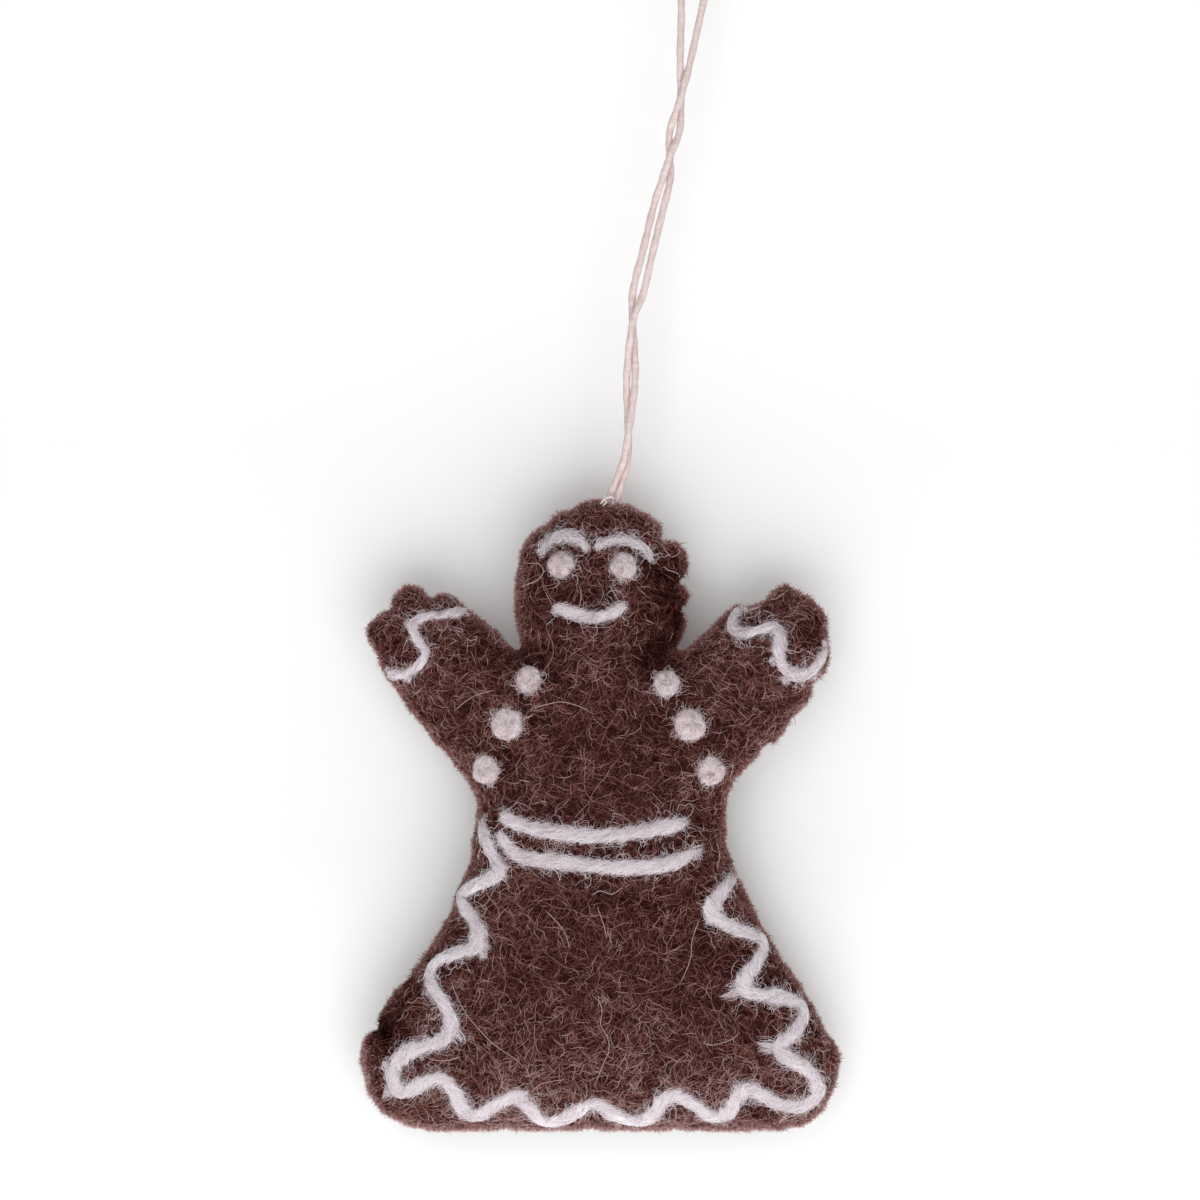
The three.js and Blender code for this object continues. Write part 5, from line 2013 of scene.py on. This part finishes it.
@dataclass(frozen=True)
class Stage:
    """Pale floor and wall, the lamps and the pale world."""

    wall_depth: float = 10.0 * MM
    floor_height: float = -1.2
    floor_reach: float = 1.2
    half_span: float = 1.1
    tall: float = 0.9
    lift: float = 0.03
    # The backdrop's tone by height is painted light and shade. It is lighter below the hem and at the top, and
    # darker from beside the skirt up past the head, which deepens the figure's shadow there.
    paper_light_and_shade_tones: tuple = ((0.0, 0.84), (0.14, 0.83), (0.26, 0.77), (0.42, 0.79), (0.6, 0.79), (0.8, 0.85))
    paper_light_and_shade_heights: Range = (-0.2, 0.0)
    world_strength: float = 0.58
    aim: tuple[float, float, float] = (-0.0156, 0.0, -0.145)
    lamps: tuple = (
        ("low_lamp", (0.02, -0.5, -0.6), 1.0, 0.9, 6.1),
        ("front_lamp", (-0.35, -1.1, 0.35), 0.8, 0.8, 2.3),
        ("back_lamp", (0.25, 1.1, 0.5), 0.9, 0.9, 17.0),
    )

    def surface(self, name: str, corners: tuple, see_through: bool) -> None:
        """Makes the floor or the wall.

        Args:
            name: its name.
            corners: its four corners.
            see_through: whether the camera sees it from the front only.
        """
        bm = bmesh.new()
        bm.faces.new([bm.verts.new(c) for c in corners])
        piece = show(plain_mesh(bm, name), name)
        piece.data.materials.append(self.paper(name + "_paper", see_through))

    def paper(self, name: str, see_through: bool) -> bpy.types.Material:
        """Makes white paper whose tone changes with height, as painted light and shade.

        Args:
            name: the material's name.
            see_through: whether the camera sees it from the front only.

        Returns:
            The material.
        """
        material = bpy.data.materials.new(name)
        material.use_nodes = True
        nodes = NodeTree(material.node_tree)
        material.node_tree.nodes.remove(material.node_tree.nodes["Principled BSDF"])
        seen = nodes.add("LightPath").outputs["Is Camera Ray"]
        place = nodes.add("SeparateXYZ", {0: nodes.add("TexCoord").outputs["Object"]})
        low, high = self.paper_light_and_shade_heights
        share = nodes.add("MapRange", {"Value": place.outputs["Z"], "From Min": low, "From Max": high})
        # The ramp paints light and shade onto the paper by height.
        stops = tuple((at, (pale, pale, pale)) for at, pale in self.paper_light_and_shade_tones)
        paper = nodes.add("BsdfDiffuse", {"Color": nodes.ramp(share.outputs[0], stops)})
        glow = nodes.add("Emission", {"Color": (1, 1, 1, 1),
                                      "Strength": nodes.maths("MULTIPLY", seen, self.lift)})
        last = nodes.add("AddShader", {0: paper.outputs[0], 1: glow.outputs[0]})
        if see_through:
            front = nodes.maths("SUBTRACT", 1.0, nodes.add("NewGeometry").outputs["Backfacing"])
            last = nodes.add("MixShader", {0: nodes.maths("MULTIPLY", seen, front),
                                           1: nodes.add("BsdfTransparent").outputs[0], 2: last.outputs[0]})
        nodes.feed(material.node_tree.nodes["Material Output"], {"Surface": last.outputs[0]})
        return material

    def lamp(self, name: str, place: tuple, wide: float, tall: float, power: float) -> None:
        """Adds a flat lamp that looks at the figure.

        Args:
            name: its name.
            place: where it stands.
            wide: its width.
            tall: its height.
            power: its power in watts.
        """
        data = bpy.data.lights.new(name, "AREA")
        data.shape, data.size, data.size_y, data.energy = "RECTANGLE", wide, tall, power
        lamp = bpy.data.objects.new(name, data)
        lamp.location = place
        lamp.visible_camera = False
        aim = Vector(self.aim) - Vector(place)
        lamp.rotation_euler = aim.to_track_quat("-Z", "Y").to_euler()
        bpy.context.scene.collection.objects.link(lamp)

    def build(self) -> None:
        """Makes the whole stage."""
        w, d, y, z = self.half_span, self.floor_reach, self.wall_depth, self.floor_height
        self.surface("backdrop", ((-w, y, z), (w, y, z), (w, y, self.tall), (-w, y, self.tall)), True)
        self.surface("floor", ((-w, -d, z), (w, -d, z), (w, d, z), (-w, d, z)), False)
        for lamp in self.lamps:
            self.lamp(*lamp)
        world = bpy.data.worlds.new("pale_world")
        world.use_nodes = True
        nodes = NodeTree(world.node_tree)
        seen = nodes.add("LightPath").outputs["Is Camera Ray"]
        to_camera = nodes.maths("MULTIPLY", seen, 1 - self.world_strength)
        strength = nodes.maths("ADD", self.world_strength, to_camera)
        nodes.feed(world.node_tree.nodes["Background"], {"Color": (1, 1, 1, 1), "Strength": strength})
        bpy.context.scene.world = world
        bpy.context.scene.view_settings.view_transform = "Standard"


# Everything in order


# Lower layers get darker tones and the top layers lighter ones. This is partly the felt's mixed fibre colours
# and partly painted shade under the top fibres.
NAP = (
    NapLayer("front_nap_low", Side.FRONT, 5000, (2.4, 5.0), (0.06, 0.085), (0.03, 0.2), 1.4, (0.0, 0.4), 51),
    NapLayer("front_nap_mid", Side.FRONT, 10500, (2.0, 5.0), (0.046, 0.066), (0.08, 0.35), 1.5,
             (0.1, 0.68), 52),
    NapLayer("front_nap_high_a", Side.FRONT, 10500, (1.8, 4.8), (0.04, 0.056), (0.15, 0.5), 1.6,
             (0.35, 0.95), 53),
    NapLayer("front_nap_high_b", Side.FRONT, 10500, (1.8, 4.8), (0.038, 0.054), (0.25, 0.75), 1.7,
             (0.45, 1.0), 54),
    NapLayer("back_nap", Side.BACK, 9500, (2.6, 5.6), (0.055, 0.085), (0.05, 0.45), 1.6, (0.1, 0.8), 55),
)

FUZZ = (
    Fuzz("edge_fuzz", 26000, (0.6, 1.4), 60.0, (0.35, 0.9), 57, (0.032, 0.05)),
    Fuzz("rim_fuzz", 31000, (0.8, 2.0), 400.0, (0.5, 1.0), 59, (0.04, 0.06), 1.4, 12.0),
    Fuzz("face_fuzz", 8000, (0.6, 1.3), 0.0, (0.35, 0.9), 58, (0.032, 0.05)),
)


def corners(bounds: object) -> list:
    """Bounds as plain lists.


    Returns:
        Two lists of three numbers.
    """
    return [[float(x) for x in corner] for corner in bounds]


def main() -> None:
    """Builds the figure in order and reports each piece."""
    logging.basicConfig(level=logging.INFO, format="%(message)s", stream=sys.stdout)
    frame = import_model()
    PICTURE.make_camera()
    HangingCord().build()
    body = FeltBody(frame["nodes"])
    surface = Surface(body.build())
    body.stuffing()
    body.thread(surface)
    dress(frame["nodes"]["cord_knot"].data, COTTON)
    for line in LINES:
        line.build(surface)
    for dot in DOTS:
        dot.build(surface)
    for layer in NAP:
        layer.build(surface)
    for fuzz in FUZZ:
        fuzz.build(surface, body)
    STRAY_HAIRS.build(surface)
    RED_LINT.build(surface)
    Stage().build()


if __name__ == "__main__":
    main()
